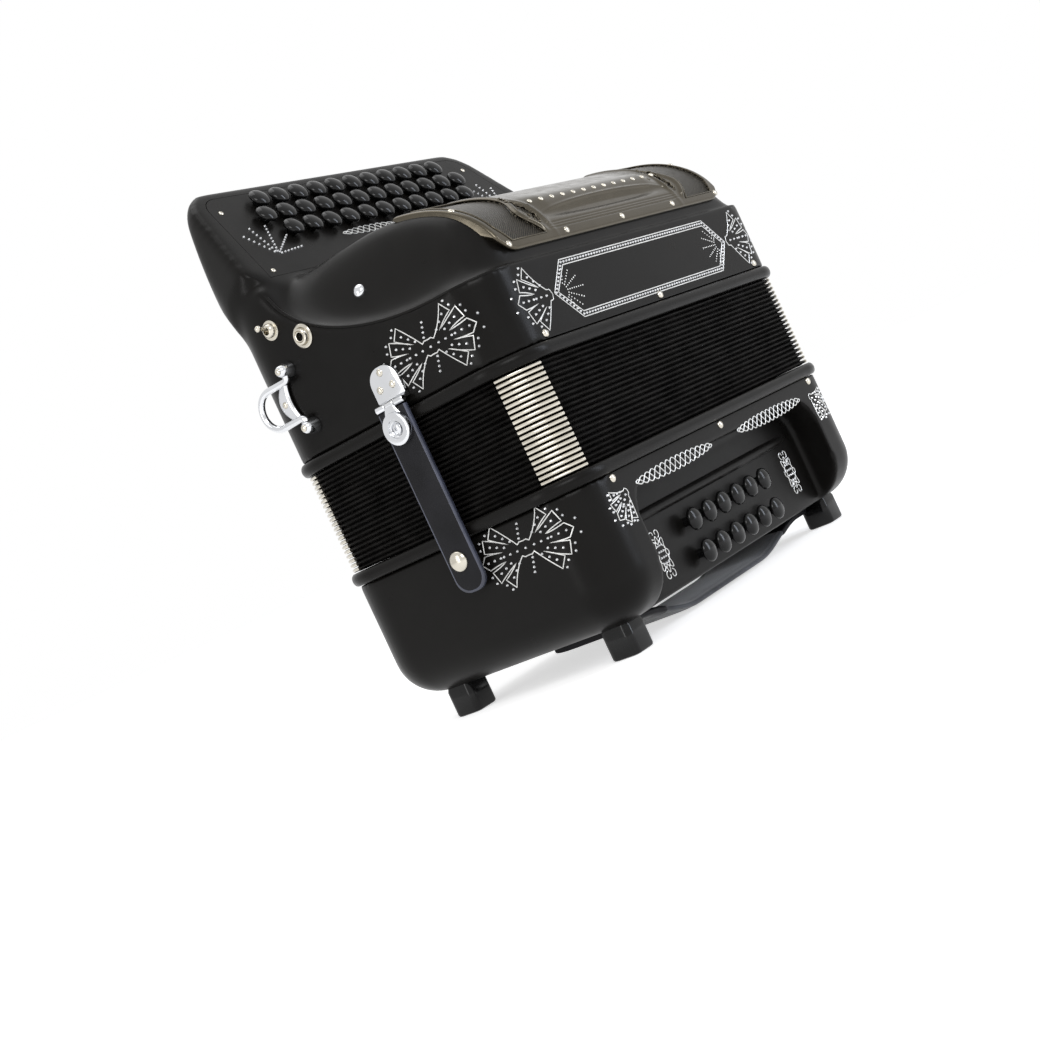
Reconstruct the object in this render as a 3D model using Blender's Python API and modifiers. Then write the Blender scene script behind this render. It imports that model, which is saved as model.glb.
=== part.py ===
"""Three-row diatonic button accordion, standing on the feet of its bass end.

X runs along the case, -Y is the decorated front and +Z is the way the bellows open. The origin is on the
floor, under the middle of the whole object's box. Sizes are in metres.
"""

import math

import bmesh
import bpy
from mathutils import Matrix, Vector

MM = 0.001

# ---------------------------------------------------------------- driving dimensions
CASE_LENGTH = 329.2 * MM
CASE_DEPTH = 192.2 * MM
CASE_CORNER = 31 * MM
CASE_WALL = 5 * MM
SEAT_GAP = 0.3 * MM

FOOT_HEIGHT = 18 * MM
FOOT_SIZE = 20 * MM
FOOT_CORNER = 4 * MM
FOOT_INSET_X = 31 * MM
FOOT_INSET_Y = 34 * MM
BASS_HEIGHT = 79.7 * MM
BASS_ROUNDING = 27 * MM
BASS_FLOOR = 6 * MM

RIB_HEIGHT = 8 * MM
RIB_PROUD = 4 * MM
RIB_ROUNDING = 2.5 * MM
BELLOWS_HEIGHT = 64.4 * MM
BELLOWS_WALL = 16 * MM
FOLD_COUNT = 21
FOLD_DEPTH = 3 * MM

LIP_HEIGHT = 45.3 * MM
LIP_WIDTH = 2 * MM
LIP_FLAT = 26 * MM
SHOULDER_WIDTH = 34.6 * MM
CROWN_POWER = 2.2

KEY_TILT = math.radians(59.07)
KEY_RISE = 152.2 * MM
KEY_BACK_INSET = 16.4 * MM
KEY_LOWER = 57 * MM
KEY_UPPER = 36 * MM
KEY_OVERHANG = 8 * MM
KEY_TAPER = 21.6 * MM
KEY_SHOULDER = 13 * MM
KEY_CORNER = 20 * MM
KEY_INNER_INSET = 12.6 * MM
KEY_DEPTH = 62 * MM

PLATE_THICKNESS = 3 * MM
PLATE_MARGIN = 9 * MM
PLATE_SIDE_MARGIN = 16.6 * MM
PLATE_LOWER_MARGIN = 6 * MM
PLATE_CORNER = 15 * MM

BUTTON_PITCH = 18.5 * MM
ROW_PITCH = 15.74 * MM
ROW_COUNTS = (11, 12, 11)
BUTTON_RADIUS = 7.2 * MM
BUTTON_DOME = 3.2 * MM
BUTTON_SKIRT = 1 * MM
BUTTON_TRAVEL = 3 * MM
STEM_RADIUS = 3 * MM
STEM_LENGTH = 7 * MM
BASS_STEM_LENGTH = 12 * MM
STEM_CLEARANCE = 0.6 * MM

GRILLE_HALF_LENGTH = 131 * MM
GRILLE_THICKNESS = 2.2 * MM
GRILLE_REACH = math.radians(72)
GRILLE_FOOT = math.radians(9)
GRILLE_SLOTS = 7
GRILLE_SLOT_WIDTH = 2.5 * MM
GRILLE_SLOT_PITCH = 6 * MM
SOUND_WINDOW_HALF = 108 * MM

BASS_PITCH = 18.9 * MM
BASS_ROW_GAP = 20.6 * MM
BASS_COLUMNS = 6
BASS_ROWS = 2
RECESS_HALF_LENGTH = 119.7 * MM
RECESS_TOP = 18 * MM
RECESS_DEPTH = 22 * MM
RECESS_CORNER = 22 * MM
PANEL_WALL = 4.5 * MM
BASS_ROW_DROP = 37 * MM
BASS_BUTTON_STAND = 6 * MM

REED_BOARD = 6 * MM
REED_BLOCKS = 3
REED_BLOCK_LENGTH = 250 * MM
REED_BLOCK_WIDTH = 14 * MM
REED_BLOCK_DROP = 44 * MM
REED_BLOCK_PITCH = 46 * MM
REED_CELLS = 6
REED_CELL = (22 * MM, 4 * MM, 30 * MM)

STRAP_AXIS_Y = -8.5 * MM
STRAP_WIDTH = 22 * MM
STRAP_THICKNESS = 3 * MM
STRAP_CLEARANCE = 1 * MM
STRAP_END_DROP = 29 * MM
HINGE_PLATE_THICKNESS = 2.6 * MM
HINGE_PLATE_HEIGHT = 20 * MM
HINGE_RISE = 5.5 * MM
HINGE_RADIUS = 2.2 * MM
RING_RADIUS = 8.5 * MM
RING_THICKNESS = 3.5 * MM
RING_DROP = 14 * MM

BRACKET_Y = 56 * MM
BRACKET_RISE = 35 * MM
BRACKET_SPAN = 36 * MM
BRACKET_THICKNESS = 2.5 * MM
BRACKET_BULGE = 17 * MM
BRACKET_BAND = 10 * MM
BOSS_SIZE = 10 * MM
BOSS_LENGTH = 7 * MM
LOOP_WIRE = 2.2 * MM
LOOP_REACH = 30 * MM
LOOP_CLEARANCE = 0.45 * MM

SWITCH_Y = 56 * MM
SWITCH_RISE = 78 * MM
SWITCH_LENGTH = 12 * MM
SWITCH_RADIUS = 2 * MM
SWITCH_LEAN = math.radians(16)
SWITCH_HOLE = 3.6 * MM

HAND_STRAP_END_GAP = 3 * MM
HAND_STRAP_WIDTH = 58 * MM
HAND_STRAP_THICKNESS = 5 * MM
HAND_STRAP_Y = -30 * MM
HAND_STRAP_BOW = 11.5 * MM

# ---------------------------------------------------------------- levels worked out from them
HALF_LENGTH = CASE_LENGTH / 2
HALF_DEPTH = CASE_DEPTH / 2
BASS_TOP = FOOT_HEIGHT + BASS_HEIGHT
BASS_RIB_Z = BASS_TOP + SEAT_GAP
BELLOWS_Z = BASS_RIB_Z + RIB_HEIGHT
TREBLE_RIB_Z = BELLOWS_Z + BELLOWS_HEIGHT
TREBLE_Z = TREBLE_RIB_Z + RIB_HEIGHT + SEAT_GAP
KEY_CENTRE = Vector((0, HALF_DEPTH - KEY_BACK_INSET, TREBLE_Z + KEY_RISE))
KEY_FOOT_Y = KEY_CENTRE.y - KEY_LOWER * math.cos(KEY_TILT)
CROWN_HEIGHT = KEY_RISE - KEY_LOWER * math.sin(KEY_TILT)
CROWN_REACH = HALF_DEPTH - LIP_WIDTH
PANEL_Y = -HALF_DEPTH + RECESS_DEPTH
END_X = -HALF_LENGTH

BLACK_SATIN = ("black_satin", (0.012, 0.011, 0.012), 0.35, 0.0)
BLACK_GLOSS = ("black_gloss", (0.006, 0.006, 0.006), 0.12, 0.0)
SMOKED_CHROME = ("smoked_chrome", (0.12, 0.10, 0.085), 0.25, 0.8)
CHROME = ("chrome", (0.8, 0.8, 0.8), 0.08, 1.0)
BELLOWS_CLOTH = ("bellows_cloth", (0.012, 0.012, 0.012), 0.6, 0.0)
LEATHER = ("leather", (0.015, 0.015, 0.018), 0.5, 0.0)
VELVET = ("velvet", (0.08, 0.08, 0.085), 0.9, 0.0)
WOOD = ("reed_wood", (0.55, 0.38, 0.22), 0.6, 0.0)


# ---------------------------------------------------------------- tools
def clear_scene():
    for obj in list(bpy.data.objects):
        bpy.data.objects.remove(obj)


def make_collection(name):
    collection = bpy.data.collections.new(name)
    bpy.context.scene.collection.children.link(collection)
    return collection


def material_of(finish):
    name, colour, roughness, metallic = finish
    material = bpy.data.materials.get(name)
    if material:
        return material
    material = bpy.data.materials.new(name)
    material.use_nodes = True
    shader = material.node_tree.nodes["Principled BSDF"]
    shader.inputs["Base Color"].default_value = (*colour, 1)
    shader.inputs["Roughness"].default_value = roughness
    shader.inputs["Metallic"].default_value = metallic
    return material


def place(name, mesh, finish=None, parent=None):
    """A visible part when it has a finish, and a hidden cutter when it has none."""
    obj = bpy.data.objects.new(name, mesh)
    obj.parent = parent
    if finish:
        PARTS.objects.link(obj)
        if not mesh.materials:
            mesh.materials.append(material_of(finish))
    else:
        CUTTERS.objects.link(obj)
        obj.hide_render = True
        obj.display_type = "WIRE"
    return obj


def empty_at(name, location, tilt=0.0):
    empty = bpy.data.objects.new(name, None)
    PARTS.objects.link(empty)
    empty.location = location
    empty.rotation_euler.x = tilt
    return empty


def mesh_from(bm, name):
    bmesh.ops.recalc_face_normals(bm, faces=bm.faces)
    mesh = bpy.data.meshes.new(name)
    bm.to_mesh(mesh)
    bm.free()
    return mesh


def rounded(corners, segments=6):
    """An outline through (x, y, radius) corners, each with a radius turned into an arc."""
    points = []
    for index, (x, y, radius) in enumerate(corners):
        here = Vector((x, y))
        if not radius:
            points.append(here)
            continue
        before = Vector(corners[index - 1][:2]) - here
        after = Vector(corners[(index + 1) % len(corners)][:2]) - here
        half = before.angle(after) / 2
        reach = radius / math.tan(half)
        start = here + before.normalized() * reach
        end = here + after.normalized() * reach
        middle = (before.normalized() + after.normalized()).normalized()
        centre = here + middle * (radius / math.sin(half))
        sweep = (start - centre).angle_signed(end - centre)
        for step in range(segments + 1):
            turn = Matrix.Rotation(-sweep * step / segments, 2)
            points.append(centre + turn @ (start - centre))
    return points


def rounded_rectangle(half_x, half_y, radius, segments=6):
    corners = [(half_x, -half_y), (half_x, half_y), (-half_x, half_y), (-half_x, -half_y)]
    return rounded([(x, y, radius) for x, y in corners], segments)


def case_outline(grow=0.0, segments=6):
    return rounded_rectangle(HALF_LENGTH + grow, HALF_DEPTH + grow, CASE_CORNER + grow, segments)


def flat_solid(name, outline, low, high):
    """A mesh of an outline in X and Y, filled and extruded from low to high along Z."""
    curve = bpy.data.curves.new(name, "CURVE")
    curve.dimensions = "2D"
    curve.fill_mode = "BOTH"
    curve.extrude = (high - low) / 2
    spline = curve.splines.new("POLY")
    spline.points.add(len(outline) - 1)
    for point, at in zip(spline.points, outline):
        point.co = (at[0], at[1], 0, 1)
    spline.use_cyclic_u = True
    mesh = curve_mesh(name, curve)
    mesh.transform(Matrix.Translation((0, 0, (high + low) / 2)))
    bm = bmesh.new()
    bm.from_mesh(mesh)
    bmesh.ops.dissolve_limit(bm, angle_limit=math.radians(0.1), verts=bm.verts, edges=bm.edges)
    bm.to_mesh(mesh)
    bm.free()
    return mesh


def curve_mesh(name, curve):
    """The mesh that a curve makes, with its caps welded to its sides."""
    guide = bpy.data.objects.new(name + "_guide", curve)
    bpy.context.scene.collection.objects.link(guide)
    graph = bpy.context.evaluated_depsgraph_get()
    mesh = bpy.data.meshes.new_from_object(guide.evaluated_get(graph))
    bpy.data.objects.remove(guide)
    bpy.data.curves.remove(curve)
    bm = bmesh.new()
    bm.from_mesh(mesh)
    bpy.data.meshes.remove(mesh)
    bmesh.ops.remove_doubles(bm, verts=bm.verts, dist=0.001 * MM)
    return mesh_from(bm, name)


def wire(name, points, radius):
    curve = bpy.data.curves.new(name, "CURVE")
    curve.dimensions = "3D"
    curve.bevel_depth = radius
    curve.bevel_resolution = 2
    curve.use_fill_caps = True
    spline = curve.splines.new("POLY")
    spline.points.add(len(points) - 1)
    for point, at in zip(spline.points, points):
        point.co = (*at, 1)
    return curve_mesh(name, curve)


def box_mesh(name, low, high):
    low, high = Vector(low), Vector(high)
    bm = bmesh.new()
    bmesh.ops.create_cube(bm, size=1)
    bmesh.ops.scale(bm, vec=high - low, verts=bm.verts)
    bmesh.ops.translate(bm, vec=(high + low) / 2, verts=bm.verts)
    return mesh_from(bm, name)


def cylinder_mesh(name, radius, start, end, segments=10):
    start, end = Vector(start), Vector(end)
    bm = bmesh.new()
    bmesh.ops.create_cone(
        bm, cap_ends=True, segments=segments, radius1=radius, radius2=radius, depth=(end - start).length
    )
    turn = (end - start).to_track_quat("Z", "Y").to_matrix().to_4x4()
    bmesh.ops.transform(bm, matrix=Matrix.Translation((start + end) / 2) @ turn, verts=bm.verts)
    return mesh_from(bm, name)


def profile_mesh(name, points):
    """An open profile in X and Z, to be turned by a Screw modifier."""
    mesh = bpy.data.meshes.new(name)
    edges = [(index, index + 1) for index in range(len(points) - 1)]
    mesh.from_pydata([(x, 0, z) for x, z in points], edges, [])
    return mesh


def turn_profile(obj, steps):
    screw = obj.modifiers.new("turned", "SCREW")
    screw.steps = screw.render_steps = steps
    screw.use_merge_vertices = True
    screw.merge_threshold = 0.01 * MM
    screw.use_smooth_shade = True


def combine(obj, operation, *others):
    for other in others:
        modifier = obj.modifiers.new(other.name, "BOOLEAN")
        modifier.operation = operation
        modifier.object = other


def cut_box(name, low, high, parent=None):
    return place(name, box_mesh(name, low, high), parent=parent)


def along_x(name, outline, low, high):
    """A mesh of an outline in Y and Z, extruded from low to high along X."""
    mesh = flat_solid(name, outline, low, high)
    mesh.transform(Matrix(((0, 0, 1, 0), (1, 0, 0, 0), (0, 1, 0, 0), (0, 0, 0, 1))))
    return mesh


def along_y(name, outline, low, high):
    """A mesh of an outline in X and Z, extruded from low to high along Y."""
    mesh = flat_solid(name, outline, -high, -low)
    mesh.transform(Matrix.Rotation(math.pi / 2, 4, "X"))
    return mesh


def ring_mesh(name, outer, inner, low, high):
    """A tube between two outlines of as many points each."""
    bm = bmesh.new()
    loops = []
    for outline, z in ((outer, low), (outer, high), (inner, high), (inner, low)):
        loops.append([bm.verts.new((p[0], p[1], z)) for p in outline])
    join_loops(bm, loops + loops[:1])
    return mesh_from(bm, name)


def join_loops(bm, loops):
    """Quads between each closed loop of vertices and the next."""
    for one, other in zip(loops, loops[1:]):
        for index, vertex in enumerate(one):
            bm.faces.new((one[index - 1], vertex, other[index], other[index - 1]))


# ---------------------------------------------------------------- the treble end's surface
def smoothstep(value):
    value = min(max(value, 0), 1)
    return value * value * (3 - 2 * value)


def lip_height(y):
    """The case's end edge: level at the front, then an elliptic sweep up to the keyboard."""
    start = -HALF_DEPTH + LIP_FLAT
    share = min(max((y - start) / (KEY_FOOT_Y - start), 0), 1)
    return CROWN_HEIGHT - (CROWN_HEIGHT - LIP_HEIGHT) * math.sqrt(1 - share * share)


def crown_height(y):
    """The rounded front of the middle, from the front edge up to the keyboard's foot."""
    share = min(max(-y / CROWN_REACH, 0), 1)
    rise = (1 - share**CROWN_POWER) ** (1 / CROWN_POWER)
    return LIP_HEIGHT + (CROWN_HEIGHT - LIP_HEIGHT) * rise


def outline_half_length(y):
    """Half the case's length at this depth, less in its rounded corners."""
    into_corner = abs(y) - (HALF_DEPTH - CASE_CORNER)
    if into_corner <= 0:
        return HALF_LENGTH
    return HALF_LENGTH - CASE_CORNER + math.sqrt(max(CASE_CORNER**2 - into_corner**2, 0))


def shoulder_share(x, y):
    """0 on the end's lip and 1 on the crown."""
    return smoothstep((outline_half_length(y) - LIP_WIDTH - abs(x)) / SHOULDER_WIDTH)


def top_height(x, y):
    lip = lip_height(y)
    crown = max(crown_height(y), lip)
    return lip + (crown - lip) * shoulder_share(x, y)


def crown_point(angle, offset=0.0):
    """(y, z) on the crown's curve at this angle up from its front edge, moved outwards by offset."""
    power = 2 / CROWN_POWER
    y = -(CROWN_REACH + offset) * math.cos(angle) ** power
    z = (CROWN_HEIGHT - LIP_HEIGHT + offset) * math.sin(angle) ** power
    return y, TREBLE_Z + LIP_HEIGHT + z


def stations(low, high, steps):
    return [low + (high - low) * step / steps for step in range(steps + 1)]


def terrain_mesh():
    """A block whose top is the treble end's surface. The case's outline trims it."""
    inner = HALF_LENGTH - LIP_WIDTH - SHOULDER_WIDTH
    right = stations(inner, HALF_LENGTH - LIP_WIDTH, 7) + [HALF_LENGTH + LIP_WIDTH]
    columns = [-x for x in reversed(right)] + right
    rows = [-HALF_DEPTH - LIP_WIDTH, -CROWN_REACH]
    rows += [crown_point(math.radians(angle))[0] for angle in range(8, 91, 9)]
    rows += [KEY_FOOT_Y * math.sin(math.radians(angle)) for angle in range(15, 91, 15)]
    rows += [HALF_DEPTH + LIP_WIDTH]
    bm = bmesh.new()
    bmesh.ops.create_grid(bm, x_segments=len(columns) - 1, y_segments=len(rows) - 1, size=1)
    for vertex in bm.verts:
        column = round((vertex.co.x + 1) / 2 * (len(columns) - 1))
        row = round((vertex.co.y + 1) / 2 * (len(rows) - 1))
        x, y = columns[column], rows[row]
        vertex.co = (x, y, TREBLE_Z + top_height(x, y))
    top = bmesh.ops.extrude_face_region(bm, geom=bm.faces[:], use_keep_orig=True)["geom"]
    for element in top:
        if isinstance(element, bmesh.types.BMVert):
            element.co.z = TREBLE_Z
    return mesh_from(bm, "treble_casing")


# ---------------------------------------------------------------- the treble end
def keyboard_outline():
    """The keyboard's outline in its own plane, s up its slope from the middle row."""
    foot = HALF_LENGTH - KEY_INNER_INSET
    narrow = HALF_LENGTH - KEY_TAPER
    shoulder = (HALF_LENGTH, KEY_SHOULDER - KEY_LOWER, 0)
    half = [(foot, -KEY_LOWER, 0), shoulder, (narrow, KEY_UPPER, KEY_CORNER)]
    return rounded(half + [(-x, s, radius) for x, s, radius in reversed(half)])


def plate_outline(grow=0.0):
    low, high = -KEY_LOWER + PLATE_LOWER_MARGIN - grow, KEY_UPPER - PLATE_MARGIN + grow
    wide = HALF_LENGTH - PLATE_SIDE_MARGIN + grow
    narrow = HALF_LENGTH - KEY_TAPER - PLATE_MARGIN + grow
    return rounded([(wide, low, 0), (narrow, high, PLATE_CORNER),
                    (-narrow, high, PLATE_CORNER), (-wide, low, 0)])


def plate_point(s):
    """(y, z) of a point of the keyboard's plane."""
    return KEY_CENTRE.y + s * math.cos(KEY_TILT), KEY_CENTRE.z + s * math.sin(KEY_TILT)


def keyboard_body():
    """The raised keyboard: its outline carried down and back, and cut to its side profile."""
    mesh = flat_solid("keyboard_body", keyboard_outline(), -KEY_DEPTH, 0)
    body = place("keyboard_body", mesh, parent=KEYBOARD)
    back = HALF_DEPTH + KEY_OVERHANG
    ledge = TREBLE_Z + CROWN_HEIGHT
    above = TREBLE_Z + KEY_RISE + 2 * KEY_UPPER
    low = TREBLE_Z + LIP_HEIGHT
    profile = [(0, low), (HALF_DEPTH - CASE_WALL, low), (HALF_DEPTH - CASE_WALL, ledge - KEY_OVERHANG),
               (back, ledge + CASE_WALL), (back, above), (0, above)]
    side = place("keyboard_side", along_x("keyboard_side", profile, -CASE_LENGTH, CASE_LENGTH))
    plan = flat_solid("keyboard_plan", rounded_rectangle(HALF_LENGTH, back, CASE_CORNER), 0, above)
    combine(body, "INTERSECT", side, place("keyboard_plan", plan))
    return body


def treble_hollow():
    """The space inside: the case's mouth, the room under the crown, and the way up to the keyboard."""
    top = TREBLE_Z + LIP_HEIGHT - CASE_WALL
    mouth = flat_solid("treble_mouth", case_outline(-CASE_WALL), TREBLE_Z - RIB_HEIGHT, top)
    yield place("treble_mouth", mouth)
    inset = CASE_WALL + GRILLE_THICKNESS
    arch = [crown_point(math.radians(angle), -inset) for angle in range(15, 91, 15)]
    floor = TREBLE_Z + CASE_WALL
    arch += [(KEY_FOOT_Y - CASE_WALL, arch[-1][1]), (KEY_FOOT_Y - CASE_WALL, floor), (arch[0][0], floor)]
    half = HALF_LENGTH - LIP_WIDTH - SHOULDER_WIDTH - CASE_WALL
    yield place("crown_room", along_x("crown_room", arch, -half, half))
    yield place("key_room", along_x("key_room", key_room_outline(floor), -half, half))


def key_room_outline(floor):
    """The room behind the plate for the stems, open down into the case and the crown."""
    low = plate_point(-KEY_LOWER + PLATE_LOWER_MARGIN + CASE_WALL)
    high = plate_point(KEY_UPPER - PLATE_MARGIN - CASE_WALL)
    back = HALF_DEPTH + KEY_OVERHANG - CASE_WALL
    ledge = TREBLE_Z + CROWN_HEIGHT
    inside, front = HALF_DEPTH - 3 * CASE_WALL, KEY_FOOT_Y - 2 * CASE_WALL
    return [low, high, (back, high[1] - CASE_WALL), (back, ledge + 3 * CASE_WALL), (inside, ledge),
            (inside, floor), (front, floor), (front, ledge - 3 * CASE_WALL),
            (KEY_FOOT_Y + 2 * CASE_WALL, ledge - CASE_WALL)]


def treble_casing():
    casing = place("treble_casing", terrain_mesh(), BLACK_SATIN)
    trim = flat_solid("case_trim", case_outline(), TREBLE_Z, TREBLE_Z + KEY_RISE)
    combine(casing, "INTERSECT", place("case_trim", trim))
    combine(casing, "UNION", keyboard_body())
    seat = flat_solid("plate_seat", plate_outline(SEAT_GAP), -PLATE_THICKNESS - SEAT_GAP, PLATE_THICKNESS)
    combine(casing, "DIFFERENCE", *treble_hollow(), place("plate_seat", seat, parent=KEYBOARD))
    front, top = crown_point(math.radians(40))[0], TREBLE_Z + CROWN_HEIGHT
    window = cut_box("sound_window", (-SOUND_WINDOW_HALF, front, TREBLE_Z + LIP_HEIGHT + 2 * CASE_WALL),
                     (SOUND_WINDOW_HALF, crown_point(math.radians(66))[0], top + CASE_WALL))
    switch_z = TREBLE_Z + SWITCH_RISE
    hole = cylinder_mesh("switch_hole", SWITCH_HOLE, (END_X - CASE_WALL, SWITCH_Y, switch_z),
                         (END_X + 2 * CASE_WALL, SWITCH_Y, switch_z))
    combine(casing, "DIFFERENCE", window, place("switch_hole", hole))
    return casing


def button_places():
    """(name, x, s) of each treble button, from the outer row in."""
    for row, count in enumerate(ROW_COUNTS):
        for index in range(count):
            x = (index - (count - 1) / 2) * BUTTON_PITCH
            yield f"treble_button_{row + 1}_{index + 1:02d}", x, (1 - row) * ROW_PITCH


def hole_cutter(name, places, low, high, parent):
    """One mesh of all the round holes, so that the plate is cut once."""
    bm = bmesh.new()
    for x, s in places:
        at = Matrix.Translation((x, s, (low + high) / 2))
        radius = STEM_RADIUS + STEM_CLEARANCE
        bmesh.ops.create_cone(bm, cap_ends=True, segments=8, radius1=radius, radius2=radius,
                              depth=high - low, matrix=at)
    return place(name, mesh_from(bm, name), parent=parent)


def keyboard_plate():
    mesh = flat_solid("keyboard_plate", plate_outline(), -PLATE_THICKNESS, 0)
    plate = place("keyboard_plate", mesh, BLACK_SATIN, KEYBOARD)
    places = [(x, s) for _, x, s in button_places()]
    holes = hole_cutter("plate_holes", places, -2 * PLATE_THICKNESS, PLATE_THICKNESS, KEYBOARD)
    combine(plate, "DIFFERENCE", holes)


def button_profile(stand, stem):
    """A domed cap on a stem, from the top of the dome down. stand is the gap under the cap at rest."""
    rim = stand + BUTTON_SKIRT
    points = []
    for angle in (0, 35, 65, 90):
        turn = math.radians(angle)
        points.append((BUTTON_RADIUS * math.sin(turn), rim + BUTTON_DOME * math.cos(turn)))
    return points + [(BUTTON_RADIUS, stand), (STEM_RADIUS, stand), (STEM_RADIUS, -stem), (0, -stem)]


def buttons(kind, profile, places, parent):
    """Every button of one kind, sharing one profile that each turns about its own axis."""
    mesh = profile_mesh(kind, profile)
    for name, x, s in places:
        button = place(name, mesh, BLACK_GLOSS, parent)
        button.location = (x, s, 0)
        turn_profile(button, 10)


def treble_grille():
    """A curved cover over the crown's front, with sound slots at both ends."""
    steps = 9
    angles = [GRILLE_FOOT + (GRILLE_REACH - GRILLE_FOOT) * step / steps for step in range(steps + 1)]
    inner = [crown_point(angle, SEAT_GAP) for angle in angles]
    outer = [crown_point(angle, SEAT_GAP + GRILLE_THICKNESS) for angle in reversed(angles)]
    half = GRILLE_HALF_LENGTH - GRILLE_THICKNESS
    mesh = along_x("treble_grille", inner + outer, -half, half)
    grille = place("treble_grille", mesh, SMOKED_CHROME)
    low, high = crown_point(math.radians(38)), crown_point(math.radians(62))
    for side, word in ((-1, "left"), (1, "right")):
        bm = bmesh.new()
        for slot in range(GRILLE_SLOTS):
            x = side * (SOUND_WINDOW_HALF - GRILLE_SLOT_PITCH * (slot + 0.5))
            size = (GRILLE_SLOT_WIDTH, high[0] - low[0], high[1] - low[1] + 8 * GRILLE_THICKNESS)
            at = Matrix.Translation((x, (low[0] + high[0]) / 2, (low[1] + high[1]) / 2))
            bmesh.ops.create_cube(bm, size=1, matrix=at @ Matrix.Diagonal((*size, 1)))
        name = f"sound_slots_{word}"
        combine(grille, "DIFFERENCE", place(name, mesh_from(bm, name)))


def treble_reed_block():
    """The board that closes the case's mouth, with the reed blocks that hang from it into the bellows."""
    low = TREBLE_Z + SEAT_GAP
    outline = case_outline(-CASE_WALL - 2 * SEAT_GAP)
    mesh = flat_solid("treble_reed_block", outline, low, low + REED_BOARD)
    board = place("treble_reed_block", mesh, WOOD)
    for block in range(REED_BLOCKS):
        y = (block - (REED_BLOCKS - 1) / 2) * REED_BLOCK_PITCH
        half_size = REED_BLOCK_LENGTH / 2, REED_BLOCK_WIDTH / 2
        body = cut_box(f"reed_block_{block + 1}", (-half_size[0], y - half_size[1], low - REED_BLOCK_DROP),
                       (half_size[0], y + half_size[1], low + REED_BOARD / 2))
        combine(board, "UNION", body)
        combine(board, "DIFFERENCE", reed_cells(block + 1, y, low))


def reed_cells(number, y, board_z):
    """A row of cells on each side of one reed block."""
    width, depth, height = REED_CELL
    pitch = REED_BLOCK_LENGTH / REED_CELLS
    bm = bmesh.new()
    for side in (-1, 1):
        for cell in range(REED_CELLS):
            at = ((cell - (REED_CELLS - 1) / 2) * pitch, y + side * REED_BLOCK_WIDTH / 2,
                  board_z - REED_BLOCK_DROP / 2)
            size = (width, 2 * depth, height, 1)
            bmesh.ops.create_cube(bm, size=1, matrix=Matrix.Translation(at) @ Matrix.Diagonal(size))
    name = f"reed_cells_{number}"
    return place(name, mesh_from(bm, name))


# ---------------------------------------------------------------- the bellows and their frames
def bellows():
    """Folded walls round an open middle, as tall as the closed bellows."""
    segments = 3
    low, high = BELLOWS_Z + SEAT_GAP, TREBLE_RIB_Z - SEAT_GAP
    crest, valley, inner = (case_outline(-inset, segments) for inset in (0, FOLD_DEPTH, BELLOWS_WALL))
    bm = bmesh.new()
    levels = stations(low, high, 2 * FOLD_COUNT)
    loops = [[bm.verts.new((p[0], p[1], z)) for p in (crest if index % 2 else valley)]
             for index, z in enumerate(levels)]
    loops += [[bm.verts.new((p[0], p[1], z)) for p in inner] for z in (high, low)]
    join_loops(bm, loops + loops[:1])
    place("bellows", mesh_from(bm, "bellows"), BELLOWS_CLOTH)


def bellows_frame(name, low):
    """The wooden frame at one end of the bellows, whose rounded edge shows all round."""
    ring = ring_mesh(name, case_outline(RIB_PROUD), case_outline(-BELLOWS_WALL), low, low + RIB_HEIGHT)
    frame = place(name, ring, BLACK_SATIN)
    bevel = frame.modifiers.new("rounding", "BEVEL")
    bevel.width = RIB_ROUNDING
    bevel.segments = 2
    bevel.limit_method = "VGROUP"
    group = frame.vertex_groups.new(name="outer_edge")
    group.add([v.index for v in frame.data.vertices if outline_distance(v.co) > 0], 1, "REPLACE")
    bevel.vertex_group = group.name


def outline_distance(point):
    """How far a point lies outside the case's sides, below 0 inside them."""
    reach_x = abs(point.x) - (HALF_LENGTH - CASE_CORNER)
    reach_y = abs(point.y) - (HALF_DEPTH - CASE_CORNER)
    if reach_x > 0 and reach_y > 0:
        return math.hypot(reach_x, reach_y) - CASE_CORNER
    return max(reach_x, reach_y) - CASE_CORNER


# ---------------------------------------------------------------- the bass end
def bass_places():
    """(name, x, rise) of each bass button, its rise counted from the panel's own origin."""
    for row in range(BASS_ROWS):
        for column in range(BASS_COLUMNS):
            x = (column - (BASS_COLUMNS - 1) / 2) * BASS_PITCH
            yield f"bass_button_{row + 1}_{column + 1}", x, -row * BASS_ROW_GAP


def bass_casing():
    mesh = flat_solid("bass_casing", case_outline(), FOOT_HEIGHT, BASS_TOP)
    casing = place("bass_casing", mesh, BLACK_SATIN)
    bevel = casing.modifiers.new("bottom_rounding", "BEVEL")
    bevel.width = BASS_ROUNDING
    bevel.segments = 6
    bevel.limit_method = "VGROUP"
    group = casing.vertex_groups.new(name="bottom_edge")
    low = [v.index for v in casing.data.vertices if v.co.z < FOOT_HEIGHT + SEAT_GAP]
    group.add(low, 1, "REPLACE")
    bevel.vertex_group = group.name
    combine(casing, "UNION", *feet())
    combine(casing, "DIFFERENCE", bass_recess(), bass_hollow())
    places = [(x, rise) for _, x, rise in bass_places()]
    holes = hole_cutter("panel_holes", places, -2 * PANEL_WALL, PANEL_WALL, BASS_PANEL)
    combine(casing, "DIFFERENCE", holes)


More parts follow.
